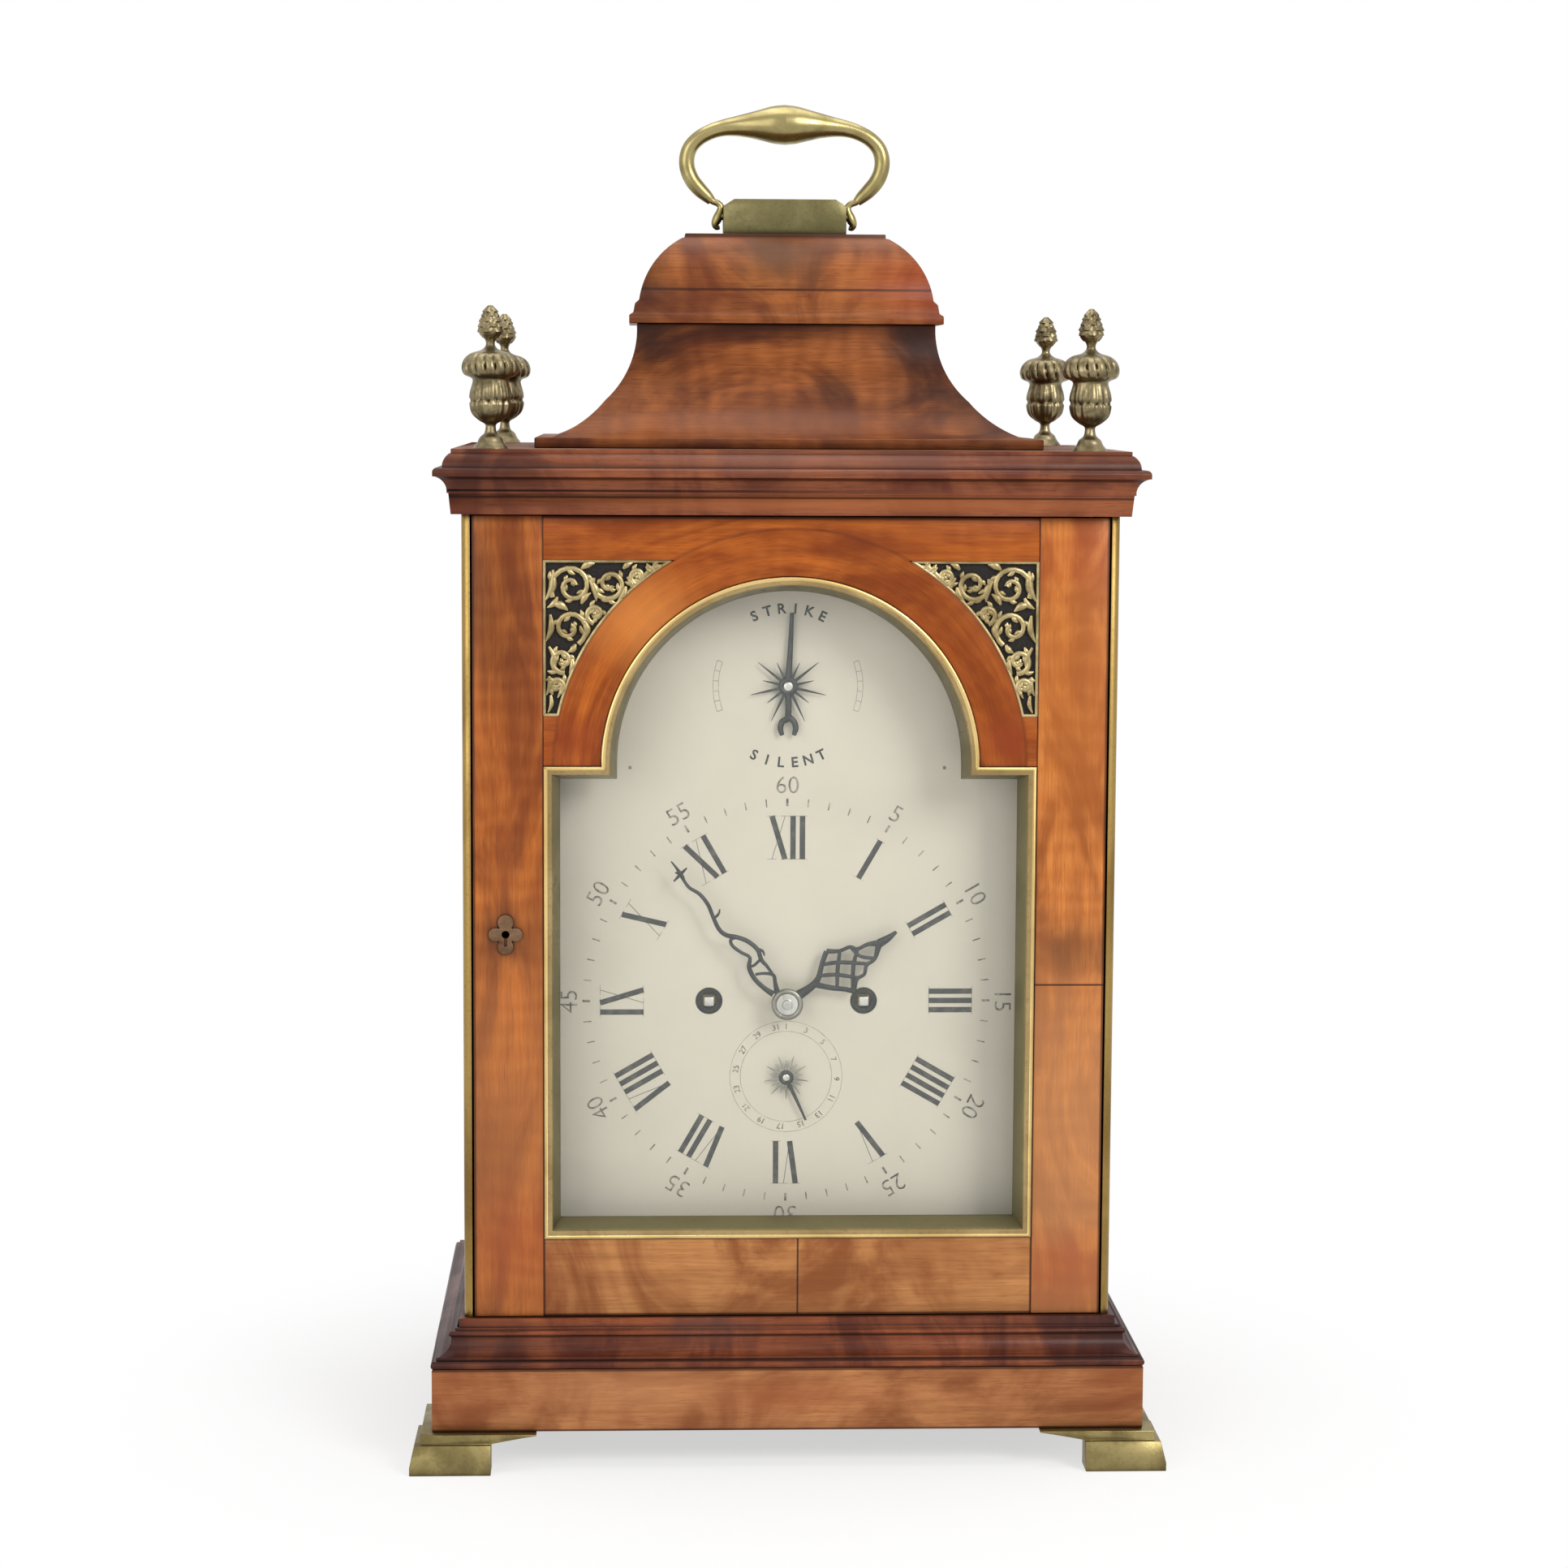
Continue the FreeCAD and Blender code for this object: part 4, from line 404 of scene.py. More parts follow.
def wovenCloth():
    material, add, plug, spot = startFinish("soundCloth", 0.9)
    threads = add("ShaderNodeTexVoronoi", Vector=spot, Scale=1600.0).outputs["Distance"]
    plug(mixed(add, spread(add, threads, 0.1, 0.6), tone(40, 32, 26), tone(18, 14, 12)), "Base Color")
    roughened(add, plug, threads, 0.4)
    return material


finishes.update(silveredDial=waxedDial(), clearGlass=clearGlass(), soundCloth=wovenCloth(),
                blackWax=wax("blackWax", 0.5, 260, (0.45, 0.7), tone(44, 40, 38), tone(84, 78, 70)),
                paleWax=wax("paleWax", 0.55, 420, (0.35, 0.62), tone(84, 78, 70), tone(168, 160, 142)))


def coat(obj, finishName):
    if obj.data.materials:
        for index in range(len(obj.data.materials)):
            obj.data.materials[index] = finishes[finishName]
    else:
        obj.data.materials.append(finishes[finishName])


def linked(name, data):
    # a new object in the scene, at the origin
    made = bpy.data.objects.new(name, data)
    bpy.context.scene.collection.objects.link(made)
    return made


def closed(name, shape):
    # a bmesh written to a new mesh, and freed
    mesh = bpy.data.meshes.new(name)
    shape.to_mesh(mesh)
    shape.free()
    return mesh


def takeIn(shape, mesh):
    # adds a mesh to a bmesh and deletes the mesh
    shape.from_mesh(mesh)
    bpy.data.meshes.remove(mesh)
    return shape


def makePiece(name, shape, finishName, body, stands=(), smoothAngle=60):
    # closes a bmesh into a named piece that rides on a body and may stand for CAD nodes
    piece = linked(name, closed(name, shape))
    coat(piece, finishName)
    if smoothAngle:
        piece.data.shade_smooth()
        piece.data.set_sharp_from_angle(angle=math.radians(smoothAngle))
    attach(piece, body)
    if stands:
        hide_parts(*stands)


softEdges = {
    # piece: its node, finish, slot and body, and the width of the rounded edge in mm
    "plinthBoards": ("plinth_boards", "plinthWood", "figured_mahogany", "case", 0.5),
    "baseMoulding": ("base_moulding", "baseWood", "moulding_mahogany", "case", 0.25),
    "cornice": ("cornice_moulding", "mouldingWood", "moulding_mahogany", "case", 0.25),
    "sidePanels": ("side_panels", "sideWood", "figured_mahogany", "case", 0.4),
    "bellTop": ("bell_top_body", "bellWood", "figured_mahogany", "case", 0.5),
    "bellCap": ("bell_top_cap", "capWood", "figured_mahogany", "case", 0.4),
    "leftStile": ("door_stile_left", "leftWood", "figured_mahogany", "front_door", 0.4),
    "rightStile": ("door_stile_right", "rightWood", "figured_mahogany", "front_door", 0.4),
    "bottomRail": ("door_bottom_rail", "railWood", "figured_mahogany", "front_door", 0.2),
    "archRail": ("door_arch_rail", "archWood", "figured_mahogany", "front_door", 0.35),
    "sightRing": ("sight_ring", "ringBrass", "antique_brass", "front_door", 0.25),
    "cornerStrips": ("corner_strips", "stripBrass", "antique_brass", "case", 0.2),
    "bracketFeet": ("bracket_feet", "footBrass", "antique_brass", "case", 0.5),
    "handlePlate": ("handle_plate", "plateBrass", "antique_brass", "case", 0.6),
    "keyholePlate": ("keyhole_plate", "darkBrass", "dark_brass", "front_door", 0.2),
    "backDoorFrame": ("back_door_frame", "sideWood", "carcass_wood", "back_door", 0.6),
}


def softened(name, node, finishName, slot, body, width):
    # a copy of the CAD mesh, merged, with its sharp edges rounded
    shape = bmesh.new()
    shape.from_mesh(nodes[node].data)
    bmesh.ops.remove_doubles(shape, verts=shape.verts, dist=0.00001)
    bmesh.ops.dissolve_limit(shape, angle_limit=math.radians(0.5), verts=shape.verts, edges=shape.edges)
    sharp = [edge for edge in shape.edges if edge.is_manifold and edge.calc_face_angle() > math.radians(35)]
    bmesh.ops.bevel(shape, geom=sharp, offset=width * mm, offset_type="OFFSET", affect="EDGES", segments=2,
                    profile=0.5, material=-1, clamp_overlap=True)
    makePiece(name, shape, finishName, body, (node,), 40)


for pieceName, made in softEdges.items():
    softened(pieceName, *made)
print("wood and brass of the case and door made")


def flowing(points, steps=5):
    # a smooth run of points through the given ones, whatever numbers each point holds
    made = []
    last = len(points) - 1
    for index in range(last):
        before, here, there, after = (points[max(0, min(last, index + k))] for k in (-1, 0, 1, 2))
        for step in range(steps):
            t = step / steps
            made.append(tuple(0.5 * (2 * b + (c - a) * t + (2 * a - 5 * b + 4 * c - d) * t * t
                                     + (3 * b - a - 3 * c + d) * t ** 3)
                              for a, b, c, d in zip(before, here, there, after)))
    return made + [tuple(points[-1])]


def meshOf(curve):
    # the curve's mesh; the curve itself goes
    holder = linked("curve", curve)
    mesh = bpy.data.meshes.new_from_object(holder.evaluated_get(bpy.context.evaluated_depsgraph_get()))
    bpy.data.objects.remove(holder)
    bpy.data.curves.remove(curve)
    return mesh


def barMesh(runs, planeY, flat=1.0, sides=3):
    # round bars along runs of (x, z, radius) in mm on an upright plane, pressed flat by a share
    curve = bpy.data.curves.new("bars", "CURVE")
    curve.dimensions = "3D"
    curve.bevel_depth = mm
    curve.bevel_resolution = sides
    curve.use_fill_caps = True
    for run in runs:
        spline = curve.splines.new("POLY")
        spline.points.add(len(run) - 1)
        for point, (x, z, radius) in zip(spline.points, run):
            point.co = (x * mm, planeY * mm, z * mm, 1.0)
            point.radius = radius
    shape = takeIn(bmesh.new(), meshOf(curve))
    bmesh.ops.remove_doubles(shape, verts=shape.verts, dist=0.000002)
    bmesh.ops.scale(shape, vec=(1, flat, 1), space=Matrix.Translation((0, -planeY * mm, 0)),
                    verts=shape.verts)
    bmesh.ops.recalc_face_normals(shape, faces=shape.faces)
    return shape


def turnedMesh(outline, sides, spot, alongY=False, between=4):
    # an outline of (radius, place along the axis) in mm, spun to a closed form
    shape = bmesh.new()
    corners = [shape.verts.new((radius * mm, 0, along * mm)) for radius, along in flowing(outline, between)]
    for first, second in zip(corners, corners[1:]):
        shape.edges.new((first, second))
    bmesh.ops.spin(shape, geom=shape.verts[:] + shape.edges[:], axis=(0, 0, 1), cent=(0, 0, 0),
                   angle=2 * math.pi, steps=sides, use_merge=True)
    bmesh.ops.remove_doubles(shape, verts=shape.verts, dist=0.00001)
    bmesh.ops.recalc_face_normals(shape, faces=shape.faces)
    if alongY:
        bmesh.ops.rotate(shape, verts=shape.verts, cent=(0, 0, 0), matrix=Matrix.Rotation(-quarter, 3, "X"))
    bmesh.ops.translate(shape, verts=shape.verts, vec=[value * mm for value in spot])
    return shape


finial = {
    "spots": [(111.8, -74.3), (-111.8, -74.3), (111.8, 74.3), (-111.8, 74.3)], "foot": 382.7,
    # radius and height above the foot
    "outline": [(0, 0), (6.1, 0), (6.2, 1.0), (5.0, 2.6), (4.1, 4.4), (2.5, 5.8), (2.0, 7.4), (2.1, 9.2),
                (4.2, 10.6), (6.6, 12.9), (7.5, 16.2), (7.5, 20.6), (6.7, 24.4), (7.0, 26.2), (9.7, 27.6),
                (10.5, 30.2), (9.6, 33.2), (7.2, 35.4), (3.6, 36.6), (1.9, 38.0), (1.7, 39.6), (2.6, 41.2),
                (4.3, 42.9), (4.4, 45.2), (3.6, 48.2), (2.3, 51.2), (1.0, 52.9), (0, 53.1)],
    # a spun finial is chased outside its core, each one turned a little further than the last
    "sides": 112, "core": 0.8, "turnedOn": 0.3,
    # bands of chasing: from and to which height, how many round the finial and how deep
    "gadroonBand": (26.4, 35.8), "gadroons": 16, "gadroonDepth": 1.3, "gadroonTwist": 0.12,
    "leafBand": (9.6, 25.4), "leaves": 7, "leafDepth": 1.0, "veinDepth": 0.35,
    "grooveBand": (17.4, 18.6), "grooveDepth": 0.5,
    "scaleBand": (41.2, 52.6), "scales": 6, "scaleDepth": 0.45, "scaleRow": 1.9,
}


def within(height, band):
    # how far up a band a height is, from 0 to 1, or nothing outside it
    low, high = finial[band]
    return (height - low) / (high - low) if low < height < high else None


def chased(angle, height):
    # how far the chasing stands out at one place of a finial, in mm
    up = within(height, "gadroonBand")
    if up is not None:
        rib = abs(math.cos(angle * finial["gadroons"] / 2 + height * finial["gadroonTwist"]))
        return finial["gadroonDepth"] * math.sin(math.pi * up) ** 0.6 * (min(1.0, rib * 1.7) - 0.85)
    up = within(height, "leafBand")
    if up is not None:
        # the leaves above the groove stand between those below it
        upper = height > sum(finial["grooveBand"]) / 2
        leaf = abs(math.cos(angle * finial["leaves"] / 2 + upper * quarter))
        vein = finial["veinDepth"] * abs(math.cos(angle * finial["leaves"] * 2))
        groove = 0.0 if within(height, "grooveBand") is None else finial["grooveDepth"]
        rise = finial["leafDepth"] * math.sin(math.pi * up) ** 0.7
        return rise * (min(1.0, leaf * 1.8) + vein - 0.95) - groove
    if within(height, "scaleBand") is not None:
        rise, row = math.modf((height - finial["scaleBand"][0]) / finial["scaleRow"])
        bulge = abs(math.cos(angle * finial["scales"] / 2 + row * quarter))
        return finial["scaleDepth"] * (bulge * (1.2 - rise) * 1.5 - 0.5)
    return 0.0


def makeFinials():
    whole = bmesh.new()
    for index, (x, y) in enumerate(finial["spots"]):
        shape = turnedMesh(finial["outline"], finial["sides"], (0, 0, 0), between=6)
        for vert in shape.verts:
            radius = math.hypot(vert.co.x, vert.co.y)
            if radius > finial["core"] * mm:
                angle = math.atan2(vert.co.y, vert.co.x) + index * finial["turnedOn"]
                grown = 1 + chased(angle, vert.co.z / mm) * mm / radius
                vert.co.x *= grown
                vert.co.y *= grown
        bmesh.ops.translate(shape, verts=shape.verts, vec=(x * mm, y * mm, finial["foot"] * mm))
        takeIn(whole, closed("finial", shape))
    makePiece("urnFinials", whole, "finialBrass", "case", ("finials",))


makeFinials()
print("finials made")


fret = {
    "corner": (92.1, 341.9), "plane": -84.2, "arc": (0.0, 265.3, 88.7), "edge": 0.85, "foot": 284.2,
    "flat": 0.62, "scrollSteps": 26, "scrollHalf": 1.05, "scrollThins": 0.2, "eye": 0.4,
    # leaflets turned out of the scrolls: length, every how many steps, and half widths
    "leaflet": 3.2, "leafletStep": 3, "leafletHalf": (0.5, 0.95, 0.3),
    "leafHalf": (0.5, 0.25), "leafBend": 0.12,
    # spirals: in from the stile, down from the top, first and last radius, first and last angle in degrees
    "spirals": [(10.5, 9.5, 8.2, 1.4, 150, 700), (9.5, 25.0, 6.9, 1.2, 60, -420),
                (7.0, 37.2, 4.6, 1.0, 80, 520), (4.6, 46.6, 3.2, 0.8, 60, -340),
                (24.5, 8.6, 6.6, 1.2, 200, -330), (35.0, 5.6, 4.0, 0.9, -20, 430),
                (19.2, 19.8, 3.6, 0.8, 100, 520), (42.0, 2.9, 1.9, 0.6, 60, 380)],
    # leaves: root and tip, each in from the stile and down from the top, then the widest half width
    "leaves": [(3.5, 3.5, 0.5, 15, 1.5), (3, 16, 9, 18.5, 1.6), (14, 3, 19, 1, 1.5), (17, 7, 19.5, 15, 1.5),
               (14, 16, 17.5, 12, 1.3), (2.5, 20, 0.8, 30, 1.3), (15, 22, 15.5, 29, 1.5),
               (12, 31, 9, 34, 1.3), (2, 32, 4, 41, 1.1), (10.5, 36, 9.5, 42, 1.2), (2, 43, 1, 50, 1.1),
               (6.5, 44, 5.2, 51, 1.0), (2.6, 50, 1.6, 56.5, 0.9), (29.5, 3, 33, 0.8, 1.2),
               (30.5, 9.5, 27.5, 15.0, 1.4), (31, 6, 33, 11.5, 1.1), (38, 2, 39.5, 7, 1.0),
               (24, 15, 21, 13, 1.0), (5.2, 13.5, 1.4, 17.5, 1.2)],
}


def makeScroll(inward, down, firstRadius, lastRadius, firstAngle, lastAngle):
    # one spiral, thickened to an eye at its inner end
    run = []
    for step in range(fret["scrollSteps"] + 1):
        t = step / fret["scrollSteps"]
        radius = firstRadius + (lastRadius - firstRadius) * t
        angle = math.radians(firstAngle + (lastAngle - firstAngle) * t)
        half = fret["scrollHalf"] - fret["scrollThins"] * t + (fret["eye"] if t == 1 else 0.0)
        run.append((fret["corner"][0] - inward - radius * math.cos(angle),
                    fret["corner"][1] - down - radius * math.sin(angle), half))
    return run


def makeLeaflets(run):
    # turned out of a scroll first on one side and then on the other
    made = []
    for place in range(2, len(run) - 3, fret["leafletStep"]):
        here, ahead = Vector(run[place][:2]), Vector(run[place + 1][:2])
        along = (ahead - here).normalized()
        side = Vector((-along.y, along.x)) * (1 if (place // fret["leafletStep"]) % 2 else -1)
        length = fret["leaflet"] * (1 - 0.5 * place / len(run))
        middle = here + side * length * 0.5 + along * length * 0.45
        tip = here + side * length * 0.75 + along * length
        spots = zip((here, middle, tip), fret["leafletHalf"])
        made.append(flowing([(spot.x, spot.y, half) for spot, half in spots], 4))
    return made


def makeFrets():
    cornerX, cornerZ = fret["corner"]
    runs = [makeScroll(*spiral) for spiral in fret["spirals"]]
    for run in list(runs):
        runs += makeLeaflets(run)
    for inward, down, tipInward, tipDown, width in fret["leaves"]:
        start = Vector((cornerX - inward, cornerZ - down))
        end = Vector((cornerX - tipInward, cornerZ - tipDown))
        middle = (start + end) / 2 + Vector((end.y - start.y, start.x - end.x)) * fret["leafBend"]
        rootHalf, tipHalf = fret["leafHalf"]
        runs.append(flowing([(start.x, start.y, rootHalf), (middle.x, middle.y, width),
                             (end.x, end.y, tipHalf)]))
    # only what lies between the arch and the square corner stays, inside an edging bar
    arcX, arcZ, arcRadius = fret["arc"]
    inside = [[point for point in run
               if math.hypot(point[0] - arcX, point[1] - arcZ) > arcRadius + 0.3 and point[0] < cornerX
               and point[1] < cornerZ] for run in runs]
    edge, foot = fret["edge"], fret["foot"]
    topAngle = math.asin((cornerZ - arcZ) / arcRadius)
    footAngle = math.asin((foot - arcZ) / arcRadius)
    rim = [(arcX + arcRadius * math.cos(a), arcZ + arcRadius * math.sin(a), edge)
           for a in [footAngle + (topAngle - footAngle) * k / 24 for k in range(25)]]
    inside += [rim, [(rim[-1][0], cornerZ, edge), (cornerX, cornerZ, edge)],
               [(cornerX, cornerZ, edge), (cornerX, foot, edge)],
               [(cornerX, foot, edge), (rim[0][0], foot, edge)]]
    shape = barMesh([run for run in inside if len(run) > 1], fret["plane"], fret["flat"], 2)
    twin = shape.copy()
    bmesh.ops.scale(twin, vec=(-1, 1, 1), verts=twin.verts)
    bmesh.ops.reverse_faces(twin, faces=twin.faces)
    takeIn(shape, closed("twin", twin))
    makePiece("scrollFrets", shape, "fretBrass", "front_door", ("spandrel_frets",))


makeFrets()
print("frets made")


dial = {
    "face": -57.0, "raise": 0.07, "centre": (0.0, 172.0),
    # numerals: weights of the thick and thin strokes and the serifs, and how wide each letter is
    "numeralFoot": 54.8, "numeralHeight": 16.6, "thick": 2.1, "thin": 0.2, "serif": 0.12,
    "strokeStep": 3.6, "afterWide": 0.85, "wide": {"I": 0.0, "V": 4.6, "X": 5.0},
    # where on its width each letter's thick stroke stands at the foot, and where its thin one
    "thickFoot": {"I": 0.0, "V": 0.5, "X": 1.0}, "thinFoot": {"V": 0.5, "X": 0.0},
    "numerals": ["XII", "I", "II", "III", "IIII", "V", "VI", "VII", "VIII", "IX", "X", "XI"],
    "track": (75.2, 78.2), "minuteMark": 0.5, "fiveMark": 0.9,
    "minutes": {"centre": (0.0, 172.0), "radius": 83.0, "size": 9.4, "bolder": -0.07},
    "date": {"centre": (0.0, 142.5), "radius": 19.4, "size": 3.1, "bolder": 0.03, "ring": (17.6, 21.6),
             "line": 0.14},
    "legend": {"centre": (0.0, 293.2), "radius": 29.4, "size": 5.4, "bolder": 0.13, "spacing": 10.4,
               "arcs": (26.5, 28.6), "arcStarts": (70, 250), "line": 0.16, "mark": 0.22},
    "feet": [(-60.0, 262.0), (60.0, 262.0)], "footHalf": 0.6,
}


def stroke(shape, start, end, width):
    # one flat four-cornered stroke on the dial, from point to point
    run = Vector(end) - Vector(start)
    side = Vector((-run.y, run.x)).normalized() * width / 2
    corners = [Vector(start) + side, Vector(start) - side, Vector(end) - side, Vector(end) + side]
    shape.faces.new([shape.verts.new((corner.x * mm, 0, corner.y * mm)) for corner in corners])


def numeralStrokes(text):
    # upright strokes of one Roman numeral about its own middle: start, end and width
    thick, half = dial["thick"], dial["numeralHeight"] / 2
    made, x = [], 0.0
    for letter in text:
        wide = dial["wide"][letter]
        gap = dial["strokeStep"] * (dial["afterWide"] if wide else 1.0)
        made.append(((x + wide * dial["thickFoot"][letter], -half), (x, half), thick))
        if wide:
            made.append(((x + wide * dial["thinFoot"][letter], -half), (x + wide, half), dial["thin"]))
        for place in ([x, x + wide] if wide else [x]):
            for level in ([half] if letter == "V" else [-half, half]):
                made.append(((place - thick * 0.9, level), (place + thick * 0.9, level), dial["serif"]))
        x += wide + gap
    middle = (x - gap) / 2
    return [((start[0] - middle, start[1]), (end[0] - middle, end[1]), width) for start, end, width in made]


def raised(shape):
    # turns flat strokes on the plane of the dial into thin solid ones
    flat = shape.faces[:]
    made = bmesh.ops.extrude_face_region(shape, geom=flat)
    moved = [item for item in made["geom"] if isinstance(item, bmesh.types.BMVert)]
    bmesh.ops.translate(shape, verts=moved, vec=(0, -dial["raise"] * mm, 0))
    bmesh.ops.translate(shape, verts=shape.verts, vec=(0, (dial["face"] + 0.02) * mm, 0))
    bmesh.ops.recalc_face_normals(shape, faces=shape.faces)
    return shape


def turnedTo(point, clockwise, radius, centre):
    # a numeral's own place, carried out to a radius and turned round the dial
    angle = math.radians(clockwise)
    x, z = point[0], point[1] + radius
    return (centre[0] + x * math.cos(angle) + z * math.sin(angle),
            centre[1] - x * math.sin(angle) + z * math.cos(angle))


def outwardMark(shape, centre, clockwise, inner, outer, width):
    start, end = (turnedTo((0, 0), clockwise, radius, centre) for radius in (inner, outer))
    stroke(shape, start, end, width)


def roundLine(shape, centre, radius, first, steps, width):
    # a fine line bent round a centre in steps of four degrees
    for angle in range(first, first + steps * 4, 4):
        start, end = (turnedTo((0, 0), turn, radius, centre) for turn in (angle, angle + 4))
        stroke(shape, start, end, width)


def makeNumerals():
    shape = bmesh.new()
    middle = dial["numeralFoot"] + dial["numeralHeight"] / 2
    for hour, text in enumerate(dial["numerals"]):
        for start, end, width in numeralStrokes(text):
            stroke(shape, turnedTo(start, hour * 30, middle, dial["centre"]),
                   turnedTo(end, hour * 30, middle, dial["centre"]), width)
    makePiece("hourNumerals", raised(shape), "blackWax", "case", smoothAngle=0)


def makeTrack():
    shape = bmesh.new()
    for minute in range(60):
        width = dial["minuteMark"] if minute % 5 else dial["fiveMark"]
        outwardMark(shape, dial["centre"], minute * 6, *dial["track"], width)
    for x, z in dial["feet"]:
        # the riveted end of a dial foot
        stroke(shape, (x - dial["footHalf"], z), (x + dial["footHalf"], z), dial["footHalf"] * 2)
    date, legend = dial["date"], dial["legend"]
    for radius in date["ring"]:
        roundLine(shape, date["centre"], radius, 0, 90, date["line"])
    for first in legend["arcStarts"]:
        for radius in legend["arcs"]:
            roundLine(shape, legend["centre"], radius, first, 10, legend["line"])
        for angle in range(first, first + 41, 8):
            outwardMark(shape, legend["centre"], angle, *legend["arcs"], legend["mark"])
    makePiece("minuteTrack", raised(shape), "paleWax", "case", smoothAngle=0)


def letteredAround(items, centre, radius, size, bolder):
    # text set round a centre; each item is its text, its clockwise angle and whether it stands upside down
    shape = bmesh.new()
    for text, clockwise, inverted in items:
        curve = bpy.data.curves.new("letter", "FONT")
        curve.body = text
        curve.size = size * mm
        curve.align_x = "CENTER"
        curve.align_y = "CENTER"
        curve.offset = bolder * mm
        curve.resolution_u = 3
        curve.fill_mode = "FRONT"
        mesh = meshOf(curve)
        upended = Matrix.Rotation(quarter, 4, "X") @ Matrix.Rotation(math.pi if inverted else 0, 4, "Z")
        mesh.transform(Matrix.Translation((centre[0] * mm, 0, centre[1] * mm))
                       @ Matrix.Rotation(math.radians(clockwise), 4, "Y")
                       @ Matrix.Translation((0, 0, radius * mm)) @ upended)
        takeIn(shape, mesh)
    bmesh.ops.remove_doubles(shape, verts=shape.verts, dist=0.000001)
    return raised(shape)


def makeFigures():
    date, legend, spacing = dial["date"], dial["legend"], dial["legend"]["spacing"]
    minutes = [(str(value), value * 6, False) for value in range(5, 61, 5)]
    days = [(str(value), (value - 1) * 360 / 31, False) for value in range(1, 32, 2)]
    letters = [(letter, (place - 2.5) * spacing, False) for place, letter in enumerate("STRIKE")]
    letters += [(letter, 180 - (place - 2.5) * spacing, True) for place, letter in enumerate("SILENT")]
    for name, items, look, finishName in (("minuteFigures", minutes, dial["minutes"], "paleWax"),
                                          ("dateFigures", days, date, "paleWax"),
                                          ("strikeSilentLegend", letters, legend, "blackWax")):
        made = letteredAround(items, look["centre"], look["radius"], look["size"], look["bolder"])
        makePiece(name, made, finishName, "case", smoothAngle=0)


makeNumerals()
makeTrack()
makeFigures()
print("dial figures made")


hands = {
    "hub": (0.0, 172.0), "flat": 0.7,
    # each hand: its plane, by how much its bars are grown, the radii of its ring and its runs as they
    # stand, each point right of the hub, above it and half the bar's width
    "hour": {
        "plane": -61.6, "grown": 1.35, "ring": (3.0, 5.2),
        "runs": [
            [(4, 2.6, 1.5), (7.5, 4.8, 1.2), (10.5, 7.2, 1.0), (12.2, 10, 0.8), (13.4, 15, 0.7),
             (15.1, 19.9, 0.75)],
            [(10.5, 7.2, 0.9), (13.5, 6.4, 0.8), (18, 5.6, 0.75), (22, 5.2, 0.7), (25.6, 4.4, 0.75)],
            [(15.1, 19.9, 0.75), (20, 20, 0.55), (24, 21.5, 0.55), (27, 20.8, 0.5), (31, 22.6, 0.6),
             (35.2, 22.9, 1.0)],
            [(25.6, 4.4, 0.75), (26.8, 9, 0.55), (29.6, 11, 0.5), (30.5, 14.5, 0.55), (33.6, 17, 0.55),
             (35.2, 22.9, 1.0)],
            [(35.2, 22.9, 1.3), (38.5, 24.8, 1.0), (41.8, 27.4, 0.45)],
            [(20.2, 20, 0.5), (19.4, 13, 0.6), (19.2, 5.8, 0.5)],
            [(27, 20.8, 0.5), (25.4, 14, 0.6), (25.2, 5, 0.5)],
            [(13.2, 14.6, 0.5), (20, 15.6, 0.6), (30.5, 15, 0.5)],
            [(12.4, 10.4, 0.5), (19, 10.8, 0.6), (27, 9.6, 0.5)],
            [(33.0, 17.2, 0.5), (28, 18, 0.5), (24.4, 21.2, 0.4)]],
    },
    "minute": {
        "plane": -64.4, "grown": 1.1, "ring": (2.6, 4.9),
        "runs": [
            [(-3.8, 4.2, 1.1), (-4.6, 8, 0.7), (-5.4, 11.2, 0.65), (-9, 11.8, 0.5), (-12.2, 11.4, 0.5)],
            [(-5.4, 3.8, 1.1), (-9, 6.3, 0.85), (-12.6, 9.9, 0.8), (-14.6, 14.1, 0.8), (-14.4, 18, 0.6),
             (-17.6, 19.9, 0.6), (-20.9, 22.4, 0.6), (-21.6, 24.8, 0.6), (-19, 25.9, 0.6)],
            [(-5.4, 11.2, 0.5), (-7.8, 14.6, 0.6), (-10, 17.2, 0.75), (-11.4, 21, 0.8), (-15.2, 24.2, 0.8),
             (-19.4, 25.8, 0.8), (-23.4, 26.6, 0.8), (-26.2, 29, 0.75), (-28.4, 33.6, 0.7),
             (-30.4, 38.4, 0.7), (-33.6, 42.4, 0.65), (-37.4, 44.8, 0.6), (-39.4, 47.4, 0.55),
             (-40.8, 50.0, 0.7), (-42.4, 52.4, 0.45), (-44.4, 54.9, 0.25)],
            [(-10.2, 17.4, 0.5), (-12.6, 15, 0.5), (-14.6, 14.4, 0.5)],
            [(-43.4, 47.2, 0.25), (-40.8, 50, 0.6), (-38.4, 52.4, 0.25)],
            [(-42.9, 50.6, 0.25), (-40.8, 50, 0.6), (-39.4, 48.4, 0.3)],
            [(-28.2, 33, 0.5), (-26.4, 34.6, 0.45), (-25.8, 36.6, 0.2)],
            [(-12.6, 21.6, 0.5), (-9.6, 20.6, 0.45), (-8.8, 18.6, 0.25)]],
    },
}


def ringRun(centre, radius, half, sides=28):
    angles = [2 * math.pi * k / sides for k in range(sides + 1)]
    return [(centre[0] + radius * math.cos(a), centre[1] + radius * math.sin(a), half) for a in angles]


def makeHand(name, look, body, node):
    hubX, hubZ = hands["hub"]
    runs = [[(hubX + x, hubZ + z, half * look["grown"]) for x, z, half in flowing(run)]
            for run in look["runs"]]
    inner, outer = look["ring"]
    runs.append(ringRun(hands["hub"], (inner + outer) / 2, (outer - inner) / 2))
    shape = barMesh(runs, look["plane"], hands["flat"], 2)
    makePiece(name, shape, "bluedSteel", body, (node,))


